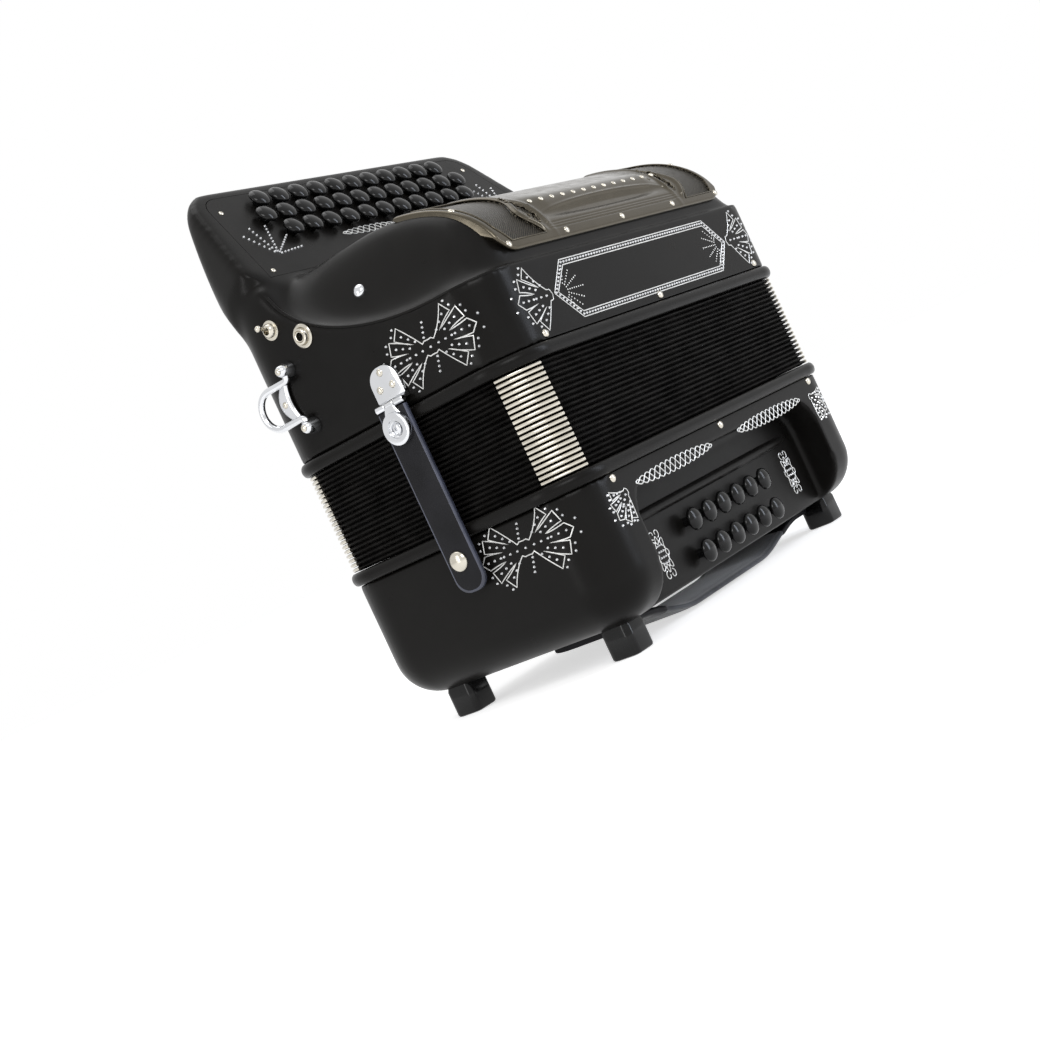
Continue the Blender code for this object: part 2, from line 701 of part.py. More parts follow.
def feet():
    half = FOOT_SIZE / 2
    outline = rounded_rectangle(half, half, FOOT_CORNER, 3)
    for side_x in (-1, 1):
        for side_y in (-1, 1):
            name = f"foot_{'left' if side_x < 0 else 'right'}_{'front' if side_y < 0 else 'back'}"
            foot = place(name, flat_solid(name, outline, 0, FOOT_HEIGHT + BASS_FLOOR))
            foot.location.x = side_x * (HALF_LENGTH - FOOT_INSET_X)
            foot.location.y = side_y * (HALF_DEPTH - FOOT_INSET_Y)
            yield foot


def bass_recess():
    """The stepped-back place for the bass buttons, open at the front and below."""
    top, low = BASS_TOP - RECESS_TOP + RIB_HEIGHT, -BASS_TOP
    half = RECESS_HALF_LENGTH
    outline = rounded([(-half, low, 0), (half, low, 0),
                       (half, top, RECESS_CORNER), (-half, top, RECESS_CORNER)])
    return place("bass_recess", along_y("bass_recess", outline, -HALF_DEPTH - CASE_WALL, PANEL_Y))


def bass_hollow():
    inset = BASS_ROUNDING - CASE_WALL
    half_x = HALF_LENGTH - inset
    front, back = PANEL_Y + PANEL_WALL, HALF_DEPTH - inset
    corner = CASE_CORNER - inset
    outline = rounded([(x, y, corner) for x, y in
                       ((half_x, front), (half_x, back), (-half_x, back), (-half_x, front))])
    mesh = flat_solid("bass_hollow", outline, FOOT_HEIGHT + BASS_FLOOR, BASS_TOP + RIB_HEIGHT)
    return place("bass_hollow", mesh)


def hand_strap():
    """A padded strap bowed down from the bottom of the bass end, for the player's hand."""
    steps = 16
    half_length = HALF_LENGTH - FOOT_INSET_X - FOOT_SIZE / 2 - HAND_STRAP_END_GAP
    top = FOOT_HEIGHT - SEAT_GAP
    upper, lower = [], []
    for x in stations(-half_length, half_length, steps):
        share = 1 - smoothstep((abs(x) - 0.35 * half_length) / (0.55 * half_length))
        z = top - HAND_STRAP_BOW * share
        upper.append((x, z))
        lower.append((x, z - HAND_STRAP_THICKNESS))
    half = HAND_STRAP_WIDTH / 2
    outline = upper + lower[::-1]
    place("hand_strap", along_y("hand_strap", outline, HAND_STRAP_Y - half, HAND_STRAP_Y + half), VELVET)


# ---------------------------------------------------------------- metalwork and straps on the end
def bracket_arc(centre_z, bulge, steps=10):
    """Points of a bow between the bracket's two ends, standing out by bulge at its middle."""
    for step in range(steps + 1):
        share = 2 * step / steps - 1
        yield BRACKET_Y + bulge * (1 - share * share), centre_z + share * BRACKET_SPAN / 2


def strap_bracket():
    """A crescent plate screwed to the end face, with a boss at each tip for the loop."""
    centre_z = TREBLE_Z + BRACKET_RISE
    near = END_X - SEAT_GAP
    outer = list(bracket_arc(centre_z, BRACKET_BULGE))
    inner = list(bracket_arc(centre_z, BRACKET_BULGE - BRACKET_BAND))
    mesh = along_x("strap_bracket", outer + inner[::-1], near - BRACKET_THICKNESS, near)
    bracket = place("strap_bracket", mesh, CHROME)
    for side in (-1, 1):
        name = f"bracket_boss_{'low' if side < 0 else 'high'}"
        z = centre_z + side * BRACKET_SPAN / 2
        boss = cut_box(name, (near - BOSS_SIZE, BRACKET_Y - BOSS_SIZE / 2, z - BOSS_LENGTH / 2),
                       (near, BRACKET_Y + BOSS_SIZE / 2, z + BOSS_LENGTH / 2))
        combine(bracket, "UNION", boss)
    x, reach = loop_axis_x(), BRACKET_SPAN
    bore = cylinder_mesh("bracket_bore", LOOP_WIRE + LOOP_CLEARANCE, (x, BRACKET_Y, centre_z - reach),
                         (x, BRACKET_Y, centre_z + reach))
    combine(bracket, "DIFFERENCE", place("bracket_bore", bore))


def loop_axis_x():
    return END_X - SEAT_GAP - BOSS_SIZE / 2


def strap_loop():
    """The D-shaped wire that takes a shoulder strap. Its two ends turn in the bracket's bosses."""
    centre_z = TREBLE_Z + BRACKET_RISE
    half = BRACKET_SPAN / 2
    arm = half - BOSS_LENGTH / 2 - LOOP_CLEARANCE - LOOP_WIRE
    points = [(0, half), (0, arm)]
    for step in range(9):
        angle = math.pi / 2 - math.pi * step / 8
        points.append((LOOP_REACH - arm + arm * math.cos(angle), arm * math.sin(angle)))
    points += [(0, -arm), (0, -half)]
    mesh = wire("strap_loop", [(0, y, z) for y, z in points], LOOP_WIRE)
    loop = place("strap_loop", mesh, CHROME)
    loop.location = (loop_axis_x(), BRACKET_Y, centre_z)


def hinge_z():
    return TREBLE_Z + HINGE_RISE


def hinge_axis_x():
    return END_X - RIB_PROUD - STRAP_CLEARANCE - STRAP_THICKNESS / 2


def bellows_strap_plate():
    """The fixed leaf of the bellows strap's hinge, with the two outer knuckles."""
    half = STRAP_WIDTH / 2
    low = hinge_z() + HINGE_RADIUS + SEAT_GAP
    top = low + HINGE_PLATE_HEIGHT
    left, right = STRAP_AXIS_Y - half, STRAP_AXIS_Y + half
    outline = rounded([(left, low, 0), (right, low, 0), (right, top, 0.9 * half), (left, top, 0.9 * half)])
    near = END_X - SEAT_GAP
    mesh = along_x("bellows_strap_plate", outline, near - HINGE_PLATE_THICKNESS, near)
    plate = place("bellows_strap_plate", mesh, CHROME)
    x, z = hinge_axis_x(), hinge_z()
    for side in (-1, 1):
        name = f"knuckle_{'front' if side < 0 else 'back'}"
        start, end = sorted((STRAP_AXIS_Y + side * half / 3, STRAP_AXIS_Y + side * half))
        barrel = cylinder_mesh(name, HINGE_RADIUS, (x, start, z), (x, end, z))
        web = cut_box(name + "_web", (x - HINGE_RADIUS / 2, start, z), (near, end, low + HINGE_RADIUS))
        combine(plate, "UNION", place(name, barrel), web)


def bellows_strap():
    """The leather strap that holds the bellows shut, with its hinge leaf and ring."""
    x, z = hinge_axis_x(), hinge_z()
    half = STRAP_WIDTH / 2
    low = BELLOWS_Z - RIB_HEIGHT - STRAP_END_DROP - z
    near = x + STRAP_THICKNESS / 2
    top = -HINGE_RADIUS - 2 * SEAT_GAP
    outline = rounded([(-half, low, 0.8 * half), (half, low, 0.8 * half), (half, top, 0), (-half, top, 0)])
    mesh = along_x("bellows_strap", outline, -STRAP_THICKNESS / 2, STRAP_THICKNESS / 2)
    strap = place("bellows_strap", mesh, LEATHER)
    strap.location = (x, STRAP_AXIS_Y, z)
    knuckle_half = half / 3 - SEAT_GAP
    barrel = cylinder_mesh("strap_knuckle", HINGE_RADIUS, (0, -knuckle_half, 0), (0, knuckle_half, 0))
    web = box_mesh("strap_web", (-HINGE_RADIUS / 2, -knuckle_half, top - SEAT_GAP),
                   (HINGE_RADIUS / 2, knuckle_half, 0))
    ring = cylinder_mesh("strap_ring", RING_RADIUS, (x - near - RING_THICKNESS, 0, -RING_DROP),
                         (0, 0, -RING_DROP), 20)
    for piece in (barrel, web, ring):
        combine(strap, "UNION", place(piece.name, piece, parent=strap))


def toggle_switch():
    """The lever of the pick-up's switch. It tips about its ball, in a hole in the end face."""
    ball = SWITCH_HOLE - 2 * SEAT_GAP
    profile = [(0, SWITCH_LENGTH), (SWITCH_RADIUS, SWITCH_LENGTH - SWITCH_RADIUS), (SWITCH_RADIUS / 2, ball),
               (ball, 0), (0, -ball)]
    switch = place("toggle_switch", profile_mesh("toggle_switch", profile), CHROME)
    turn_profile(switch, 10)
    switch.location = (END_X, SWITCH_Y, TREBLE_Z + SWITCH_RISE)
    switch.rotation_euler = (0, SWITCH_LEAN - math.pi / 2, 0)


# ---------------------------------------------------------------- the whole instrument
def centre_on_floor():
    """Moves everything so that the origin lies under the middle of the object's overall box."""
    left = min(END_X - SWITCH_LENGTH * math.cos(SWITCH_LEAN),
               hinge_axis_x() - STRAP_THICKNESS / 2 - RING_THICKNESS)
    right = HALF_LENGTH + RIB_PROUD
    front, back = -HALF_DEPTH - RIB_PROUD, HALF_DEPTH + KEY_OVERHANG
    for obj in bpy.data.objects:
        if not obj.parent:
            obj.location -= Vector(((left + right) / 2, (front + back) / 2, 0))


clear_scene()
PARTS = make_collection("button_accordion")
CUTTERS = make_collection("cutters")
KEYBOARD = empty_at("keyboard_plane", KEY_CENTRE, KEY_TILT)
BASS_PANEL = empty_at("bass_panel", (0, PANEL_Y, BELLOWS_Z - BASS_ROW_DROP - RECESS_TOP), math.pi / 2)

treble_casing()
keyboard_plate()
treble_grille()
treble_reed_block()
buttons("treble_button", button_profile(BUTTON_TRAVEL + SEAT_GAP, STEM_LENGTH), button_places(), KEYBOARD)
bellows()
bellows_frame("treble_bellows_frame", TREBLE_RIB_Z)
bellows_frame("bass_bellows_frame", BASS_RIB_Z)
bass_casing()
buttons("bass_button", button_profile(BASS_BUTTON_STAND, BASS_STEM_LENGTH), bass_places(), BASS_PANEL)
hand_strap()
strap_bracket()
strap_loop()
bellows_strap_plate()
bellows_strap()
toggle_switch()
centre_on_floor()
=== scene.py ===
"""Three-row diatonic button accordion: the visual model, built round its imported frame.

X runs along the case, -Y is the decorated front and +Z is the way the bellows open. Shapes are made round the
middle of the case and put in place by finished_piece. Sizes are in metres.
"""

import math

import bmesh
import bpy
from bpy.props import FloatProperty, FloatVectorProperty, IntProperty, PointerProperty
from mathutils import Matrix, Vector


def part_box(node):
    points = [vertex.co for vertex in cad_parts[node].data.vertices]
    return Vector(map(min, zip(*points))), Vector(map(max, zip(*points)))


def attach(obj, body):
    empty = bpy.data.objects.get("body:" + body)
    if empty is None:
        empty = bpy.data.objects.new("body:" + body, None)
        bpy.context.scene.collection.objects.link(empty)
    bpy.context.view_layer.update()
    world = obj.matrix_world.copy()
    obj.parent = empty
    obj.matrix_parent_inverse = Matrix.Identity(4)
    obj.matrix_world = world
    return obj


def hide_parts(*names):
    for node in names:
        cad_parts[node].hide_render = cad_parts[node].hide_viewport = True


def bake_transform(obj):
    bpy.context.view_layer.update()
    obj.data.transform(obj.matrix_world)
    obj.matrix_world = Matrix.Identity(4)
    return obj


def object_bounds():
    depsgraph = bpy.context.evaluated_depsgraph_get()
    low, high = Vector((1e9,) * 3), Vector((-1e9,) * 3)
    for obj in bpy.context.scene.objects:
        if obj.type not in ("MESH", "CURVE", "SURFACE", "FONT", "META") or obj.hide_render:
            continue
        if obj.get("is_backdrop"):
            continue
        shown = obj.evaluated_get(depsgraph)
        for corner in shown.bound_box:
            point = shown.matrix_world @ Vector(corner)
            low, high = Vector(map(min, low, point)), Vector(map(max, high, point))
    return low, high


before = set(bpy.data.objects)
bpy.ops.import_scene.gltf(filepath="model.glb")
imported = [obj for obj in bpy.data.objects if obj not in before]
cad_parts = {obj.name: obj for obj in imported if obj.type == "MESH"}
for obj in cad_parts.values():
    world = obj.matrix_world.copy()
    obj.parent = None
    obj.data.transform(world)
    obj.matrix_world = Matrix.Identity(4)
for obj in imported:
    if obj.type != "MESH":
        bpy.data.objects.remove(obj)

bl_info = {
    "name": "Button accordion",
    "version": (1, 0, 0),
    "blender": (4, 5, 0),
    "location": "View3D > Sidebar > Accordion",
    "description": "Builds a three-row diatonic button accordion, piece by piece",
    "category": "Add Mesh",
}

MM = 0.001
CAD_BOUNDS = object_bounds()


def node_box(node):
    low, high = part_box(node)
    return Vector(low), Vector(high)


# ---------------------------------------------------------------- places on the frame
BASS_LOW, BASS_HIGH = node_box("bass_casing")
TREBLE_LOW, TREBLE_HIGH = node_box("treble_casing")
BELLOWS_LOW, BELLOWS_HIGH = node_box("bellows")
CENTRE = Vector(((BASS_LOW.x + BASS_HIGH.x) / 2, (BASS_LOW.y + BASS_HIGH.y) / 2, 0))
HALF_LENGTH = (BASS_HIGH.x - BASS_LOW.x) / 2
HALF_DEPTH = (BASS_HIGH.y - BASS_LOW.y) / 2
END_X = -HALF_LENGTH
TREBLE_Z = TREBLE_LOW.z
BASS_TOP = BASS_HIGH.z
RIB_PROUD = node_box("bass_bellows_frame")[1].x - BASS_HIGH.x
BELLOWS_WALL = 16 * MM

KEY_TILT = math.radians(59.07)
KEY_RISE = 152.2 * MM
KEY_CENTRE = Vector((0, HALF_DEPTH - 16.4 * MM, TREBLE_Z + KEY_RISE))
KEYBOARD = Matrix.Translation(KEY_CENTRE) @ Matrix.Rotation(KEY_TILT, 4, "X")
KEY_LOWER = 57 * MM
KEY_UPPER = 36 * MM
KEY_DEPTH = 62 * MM
KEY_OVERHANG = TREBLE_HIGH.y - BASS_HIGH.y
KEY_FOOT_Y = KEY_CENTRE.y - KEY_LOWER * math.cos(KEY_TILT)
CROWN_HEIGHT = KEY_RISE - KEY_LOWER * math.sin(KEY_TILT)
LIP_WIDTH = 2 * MM
LIP_FLAT = 26 * MM
CROWN_REACH = HALF_DEPTH - LIP_WIDTH
CROWN_POWER = 2.2
BUTTON_PITCH = 18.5 * MM
ROW_PITCH = 15.74 * MM
ROW_COUNTS = (11, 12, 11)
BASS_PITCH = 18.9 * MM
BASS_ROW_GAP = 20.6 * MM
PANEL_Y = -HALF_DEPTH + 22 * MM
BASS_ROW_Z = 51 * MM
RECESS_HALF_LENGTH = 119.7 * MM
RECESS_TOP_Z = BASS_TOP - 10 * MM
FOOT_HEIGHT = 18 * MM
GRILLE_HALF = 130.6 * MM
STRAP_Y = -8.5 * MM
BRACKET_Y = 56 * MM
BRACKET_Z = TREBLE_Z + 35 * MM
BRACKET_SPAN = 36 * MM
LOOP_X = END_X - 5.3 * MM
HINGE_X = END_X - 6.5 * MM
HINGE_Z = TREBLE_Z + 5.5 * MM
SWITCH_Z = TREBLE_Z + 78 * MM


class AccordionShape(bpy.types.PropertyGroup):
    """Sizes of the shell, bellows and fittings"""

    corner_radius: FloatProperty(
        name="Corner radius", description="Radius of the case's upright corners", default=31 * MM,
        min=10 * MM, max=60 * MM, unit="LENGTH", subtype="DISTANCE")
    lip_height: FloatProperty(
        name="Lip height", description="Height of the treble end's lip at the front", default=45.3 * MM,
        min=20 * MM, max=80 * MM, unit="LENGTH", subtype="DISTANCE")
    shoulder_width: FloatProperty(
        name="Shoulder width", description="Width of the sweep from the lip up to the crown",
        default=34.6 * MM, min=10 * MM, max=60 * MM, unit="LENGTH", subtype="DISTANCE")
    bass_rounding: FloatProperty(
        name="Bass rounding", description="Radius round the bottom of the bass end", default=27 * MM,
        min=5 * MM, max=30 * MM, unit="LENGTH", subtype="DISTANCE")
    skin_detail: FloatProperty(
        name="Skin detail", description="Size of the facets of the two moulded shells", default=1.6 * MM,
        min=1 * MM, max=6 * MM, unit="LENGTH", subtype="DISTANCE")
    fold_count: IntProperty(
        name="Folds", description="Number of folds in the bellows", default=21, min=8, max=40)
    fold_depth: FloatProperty(
        name="Fold depth", description="Depth of the valley between two folds", default=4.2 * MM,
        min=1 * MM, max=10 * MM, unit="LENGTH", subtype="DISTANCE")
    grille_thickness: FloatProperty(
        name="Grille thickness", description="How far the grille stands over the crown", default=2.2 * MM,
        min=1 * MM, max=5 * MM, unit="LENGTH", subtype="DISTANCE")
    stone_radius: FloatProperty(
        name="Stone radius", description="Radius of each set stone", default=0.8 * MM,
        min=0.3 * MM, max=2 * MM, unit="LENGTH", subtype="DISTANCE")
    line_radius: FloatProperty(
        name="Line radius", description="Half the width of the raised silver lines", default=0.36 * MM,
        min=0.1 * MM, max=1 * MM, unit="LENGTH", subtype="DISTANCE")


class AccordionFinish(bpy.types.PropertyGroup):
    """Colours of the shell, cloth and fittings"""

    case: FloatVectorProperty(
        name="Case", description="Satin celluloid of the case", subtype="COLOR",
        default=(0.0055, 0.005, 0.0045), min=0, max=1)
    gloss: FloatVectorProperty(
        name="Buttons", description="Polished buttons, frames and feet", subtype="COLOR",
        default=(0.006, 0.006, 0.006), min=0, max=1)
    smoked: FloatVectorProperty(
        name="Grille", description="Smoked plating of the grille", subtype="COLOR",
        default=(0.085, 0.074, 0.055), min=0, max=1)
    nickel: FloatVectorProperty(
        name="Nickel", description="Screws, clips, jack and switch", subtype="COLOR",
        default=(0.6, 0.565, 0.49), min=0, max=1)
    chrome: FloatVectorProperty(
        name="Chrome", description="Bracket, loop and hinge", subtype="COLOR",
        default=(0.68, 0.69, 0.71), min=0, max=1)
    cloth: FloatVectorProperty(
        name="Bellows cloth", description="Covering of the folds", subtype="COLOR",
        default=(0.007, 0.0065, 0.006), min=0, max=1)
    leather: FloatVectorProperty(
        name="Leather", description="Bellows strap and strap ends", subtype="COLOR",
        default=(0.0085, 0.0085, 0.01), min=0, max=1)
    velvet: FloatVectorProperty(
        name="Velvet", description="Lining of the hand strap", subtype="COLOR",
        default=(0.075, 0.078, 0.085), min=0, max=1)
    silver: FloatVectorProperty(
        name="Ornament", description="Silver of the line ornament", subtype="COLOR",
        default=(0.78, 0.78, 0.76), min=0, max=1)


# ---------------------------------------------------------------- finishes
class Finish:
    """A procedural material and the few nodes that every finish here uses."""

    def __init__(self, name, colour, roughness, metallic=0.0, **sockets):
        self.material = bpy.data.materials.new(name)
        self.material.use_nodes = True
        self.nodes = self.material.node_tree.nodes
        self.links = self.material.node_tree.links
        self.shader = self.nodes["Principled BSDF"]
        self.shader.inputs["Base Color"].default_value = (*colour, 1)
        self.shader.inputs["Roughness"].default_value = roughness
        self.shader.inputs["Metallic"].default_value = metallic
        for socket, value in sockets.items():
            self.shader.inputs[socket.replace("_", " ").title().replace("Ior", "IOR")].default_value = value
        self.place = self.nodes.new("ShaderNodeTexCoord").outputs["Object"]
        self.colour = tuple(colour)

    def mapped(self, rotation=(0, 0, 0), scale=(1, 1, 1)):
        node = self.nodes.new("ShaderNodeMapping")
        node.inputs["Rotation"].default_value = rotation
        node.inputs["Scale"].default_value = scale
        self.links.new(self.place, node.inputs["Vector"])
        return node.outputs["Vector"]

    def noise(self, scale, detail=3.0, place=None):
        node = self.nodes.new("ShaderNodeTexNoise")
        node.inputs["Scale"].default_value = scale
        node.inputs["Detail"].default_value = detail
        self.links.new(place or self.place, node.inputs["Vector"])
        return node.outputs["Fac"]

    def waves(self, scale, direction, place=None, distortion=0.0):
        node = self.nodes.new("ShaderNodeTexWave")
        node.bands_direction = direction
        node.inputs["Scale"].default_value = scale
        node.inputs["Distortion"].default_value = distortion
        self.links.new(place or self.place, node.inputs["Vector"])
        return node.outputs["Fac"]

    def pebbles(self, scale):
        node = self.nodes.new("ShaderNodeTexVoronoi")
        node.feature = "DISTANCE_TO_EDGE"
        node.inputs["Scale"].default_value = scale
        self.links.new(self.place, node.inputs["Vector"])
        return node.outputs["Distance"]

    def product(self, one, other):
        node = self.nodes.new("ShaderNodeMath")
        node.operation = "MULTIPLY"
        self.links.new(one, node.inputs[0])
        self.links.new(other, node.inputs[1])
        return node.outputs[0]

    def spread(self, value, low, high, start=0.3, end=0.7):
        node = self.nodes.new("ShaderNodeMapRange")
        for name, amount in (("From Min", start), ("From Max", end), ("To Min", low), ("To Max", high)):
            node.inputs[name].default_value = amount
        self.links.new(value, node.inputs["Value"])
        return node.outputs["Result"]

    def shade(self, value, darker, lighter, start=0.3, end=0.7):
        """The base colour, from darker to lighter times itself as value goes from start to end."""
        ramp = self.nodes.new("ShaderNodeValToRGB")
        for stop, at, share in zip(ramp.color_ramp.elements, (start, end), (darker, lighter)):
            stop.position = at
            stop.color = (*(min(channel * share, 1) for channel in self.colour), 1)
        self.links.new(value, ramp.inputs["Fac"])
        self.links.new(ramp.outputs["Color"], self.shader.inputs["Base Color"])

    def rough(self, value, low, high):
        self.links.new(self.spread(value, low, high), self.shader.inputs["Roughness"])

    def bump(self, height, strength, distance):
        node = self.nodes.new("ShaderNodeBump")
        node.inputs["Strength"].default_value = strength
        node.inputs["Distance"].default_value = distance
        self.links.new(height, node.inputs["Height"])
        self.links.new(node.outputs["Normal"], self.shader.inputs["Normal"])


def case_finish(colours):
    finish = Finish("satin_celluloid", colours.case, 0.34, specular_ior_level=0.11)
    finish.shade(finish.noise(14, 4), 0.85, 1.25)
    finish.rough(finish.noise(60, 5), 0.27, 0.37)
    finish.bump(finish.noise(900, 2), 0.06, 0.2 * MM)
    return finish.material


def gloss_finish(colours):
    finish = Finish("polished_black", colours.gloss, 0.12, specular_ior_level=0.24)
    finish.shade(finish.noise(90, 2), 0.8, 1.4)
    finish.rough(finish.noise(220, 4), 0.09, 0.2)
    finish.bump(finish.noise(500, 2), 0.03, 0.1 * MM)
    return finish.material


def smoked_finish(colours):
    finish = Finish("smoked_plating", colours.smoked, 0.2, 0.9)
    finish.shade(finish.noise(30, 4), 0.94, 1.06)
    finish.rough(finish.noise(160, 5), 0.15, 0.27)
    finish.bump(finish.noise(600, 3), 0.03, 0.1 * MM)
    return finish.material


def mesh_finish(colours):
    """Woven wire over a hollow: slanted wires in two directions, with painted shade of the hollow behind in
    the holes between them.
    """
    finish = Finish("smoked_wire_mesh", colours.smoked, 0.35, 0.85)
    one = finish.waves(250, "X", finish.mapped((0, math.radians(22), 0)))
    other = finish.waves(250, "X", finish.mapped((0, math.radians(-48), 0)))
    weave = finish.product(one, other)
    # painted shade: where the weave is low, the holes are painted nearly black for the shaded hollow behind
    # the mesh
    finish.shade(weave, 0.03, 1.15, 0.12, 0.5)
    finish.bump(weave, 0.7, 0.5 * MM)
    return finish.material


def nickel_finish(colours):
    finish = Finish("nickel", colours.nickel, 0.2, 1.0)
    finish.shade(finish.noise(70, 3), 0.86, 1.06)
    finish.rough(finish.noise(300, 4), 0.13, 0.28)
    finish.bump(finish.noise(700, 3), 0.03, 0.1 * MM)
    return finish.material


def chrome_finish(colours):
    finish = Finish("chrome", colours.chrome, 0.07, 1.0)
    finish.shade(finish.noise(50, 3), 0.92, 1.03)
    finish.rough(finish.noise(240, 5), 0.04, 0.13)
    finish.bump(finish.noise(120, 2), 0.02, 0.1 * MM)
    return finish.material


def cloth_finish(colours):
    """Fine book cloth: a tight weave, its tone and roughness varying at random."""
    finish = Finish("bellows_cloth", colours.cloth, 0.55, specular_ior_level=0.16)
    weave = finish.product(finish.waves(380, "X"), finish.waves(380, "Z"))
    finish.shade(finish.noise(55, 5), 0.6, 1.9)
    finish.rough(finish.noise(130, 4), 0.42, 0.66)
    finish.bump(weave, 0.25, 0.15 * MM)
    return finish.material


def leather_finish(colours):
    finish = Finish("black_leather", colours.leather, 0.45, specular_ior_level=0.12)
    finish.shade(finish.noise(40, 5), 0.7, 1.7)
    finish.rough(finish.noise(150, 4), 0.34, 0.52)
    finish.bump(finish.pebbles(650), 0.3, 0.25 * MM)
    return finish.material


def edge_finish(colours):
    """The edge paint on the strap's cut edge, lightened and tinted blue all over as a painted highlight."""
    # painted highlight: the bluish, lighter colour stands in for the light that catches the edge
    finish = Finish("strap_edge_paint_and_highlight", (0.045, 0.05, 0.075), 0.38)
    finish.shade(finish.noise(80, 4), 0.7, 1.6)
    finish.bump(finish.noise(400, 3), 0.1, 0.2 * MM)
    return finish.material


def velvet_finish(colours):
    finish = Finish("grey_velvet", colours.velvet, 0.85, sheen_weight=0.7, sheen_roughness=0.35)
    finish.shade(finish.noise(45, 6), 0.55, 1.45)
    finish.bump(finish.noise(1500, 2), 0.35, 0.3 * MM)
    return finish.material


def silver_finish(colours):
    finish = Finish("silver_line", colours.silver, 0.3, 0.45)
    finish.shade(finish.noise(160, 3), 0.8, 1.15)
    finish.rough(finish.noise(300, 3), 0.22, 0.42)
    finish.bump(finish.noise(900, 2), 0.1, 0.05 * MM)
    return finish.material


def stone_finish(colours):
    finish = Finish("cut_stone", (0.93, 0.94, 0.96), 0.05, 0.35, coat_weight=1.0, coat_roughness=0.02)
    finish.shade(finish.noise(500, 1), 0.75, 1.05)
    finish.rough(finish.noise(700, 1), 0.03, 0.12)
    return finish.material


def wood_finish(colours):
    finish = Finish("reed_block_wood", (0.5, 0.34, 0.19), 0.6)
    grain = finish.noise(30, 6, finish.mapped(scale=(1, 14, 14)))
    finish.shade(grain, 0.7, 1.25)
    finish.bump(grain, 0.2, 0.3 * MM)
    return finish.material


FINISHES = {
    "case": case_finish, "gloss": gloss_finish, "smoked": smoked_finish, "wire_mesh": mesh_finish,
    "nickel": nickel_finish, "chrome": chrome_finish, "cloth": cloth_finish, "leather": leather_finish,
    "strap_edge": edge_finish, "velvet": velvet_finish, "silver": silver_finish, "stone": stone_finish,
    "wood": wood_finish,
}
MADE = {}


def finish_named(name):
    if name not in MADE:
        MADE[name] = FINISHES[name](bpy.context.scene.accordion_finish)
    return MADE[name]


# ---------------------------------------------------------------- tools
def finished_piece(name, mesh, body, slot, *stands_for):
    """Puts a mesh made round the case's middle in its place, riding on a body of the frame."""
    mesh.transform(Matrix.Translation(CENTRE))
    mesh.name = name
    obj = bpy.data.objects.new(name, mesh)
    bpy.context.scene.collection.objects.link(obj)
    if body == "bellows":
        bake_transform(obj)
    else:
        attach(obj, body)
    if stands_for:
        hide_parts(*stands_for)
    return obj


def skinned(bm, name, *finishes, sharp=38):
    """The mesh of a closed form, its faces turned outwards and its edges smooth below the sharp angle."""
    bmesh.ops.remove_doubles(bm, verts=bm.verts, dist=0.001 * MM)
    bmesh.ops.recalc_face_normals(bm, faces=bm.faces)
    mesh = bpy.data.meshes.new(name)
    bm.to_mesh(mesh)
    bm.free()
    for finish in finishes:
        mesh.materials.append(finish_named(finish))
    mesh.shade_smooth()
    mesh.set_sharp_from_angle(angle=math.radians(sharp))
    return mesh


def evaluated(obj):
    """The mesh that an object's modifiers make. The object is removed."""
    graph = bpy.context.evaluated_depsgraph_get()
    mesh = bpy.data.meshes.new_from_object(obj.evaluated_get(graph))
    old = obj.data
    bpy.data.objects.remove(obj)
    if isinstance(old, bpy.types.Mesh):
        bpy.data.meshes.remove(old)
    return mesh


def helper(name, data):
    obj = bpy.data.objects.new(name, data)
    bpy.context.scene.collection.objects.link(obj)
    return obj


def rounded(corners, segments=10):
    """An outline through (x, y, radius) corners, each with a radius turned into an arc."""
    points = []
    for index, (x, y, radius) in enumerate(corners):
        here = Vector((x, y))
        if not radius:
            points.append(here)
            continue
        before = (Vector(corners[index - 1][:2]) - here).normalized()
        after = (Vector(corners[(index + 1) % len(corners)][:2]) - here).normalized()
        half = before.angle(after) / 2
        start, end = here + before * (radius / math.tan(half)), here + after * (radius / math.tan(half))
        centre = here + (before + after).normalized() * (radius / math.sin(half))
        sweep = (start - centre).angle_signed(end - centre)
        for step in range(segments + 1):
            points.append(centre + Matrix.Rotation(-sweep * step / segments, 2) @ (start - centre))
    return points


def case_outline(grow=0.0, segments=14):
    radius = bpy.context.scene.accordion_shape.corner_radius + grow
    x, y = HALF_LENGTH + grow, HALF_DEPTH + grow
    return rounded([(x, -y, radius), (x, y, radius), (-x, y, radius), (-x, -y, radius)], segments)


def joined_loops(bm, rings):
    for one, other in zip(rings, rings[1:]):
        for index in range(len(one)):
            bm.faces.new((one[index - 1], one[index], other[index], other[index - 1]))


def band(name, profile, *finishes, segments=14, sharp=38):
    """A closed ring round the case, its section given as (how far outside the outline, z) points."""
    bm = bmesh.new()
    rings = [[bm.verts.new((p.x, p.y, z)) for p in case_outline(grow, segments)] for grow, z in profile]
    joined_loops(bm, rings + rings[:1])
    return skinned(bm, name, *finishes, sharp=sharp)


def capped(bm, rings):
    joined_loops(bm, rings)
    bm.faces.new(rings[0])
    bm.faces.new(rings[-1])


def prism(bm, outline, low, high, at=Matrix()):
    """Adds an outline of (x, y) points, carried from low to high along the Z axis of at."""
    rings = [[bm.verts.new(at @ Vector((p[0], p[1], z))) for p in outline] for z in (low, high)]
    capped(bm, rings)


ALONG_X = Matrix(((0, 0, 1, 0), (1, 0, 0, 0), (0, 1, 0, 0), (0, 0, 0, 1)))


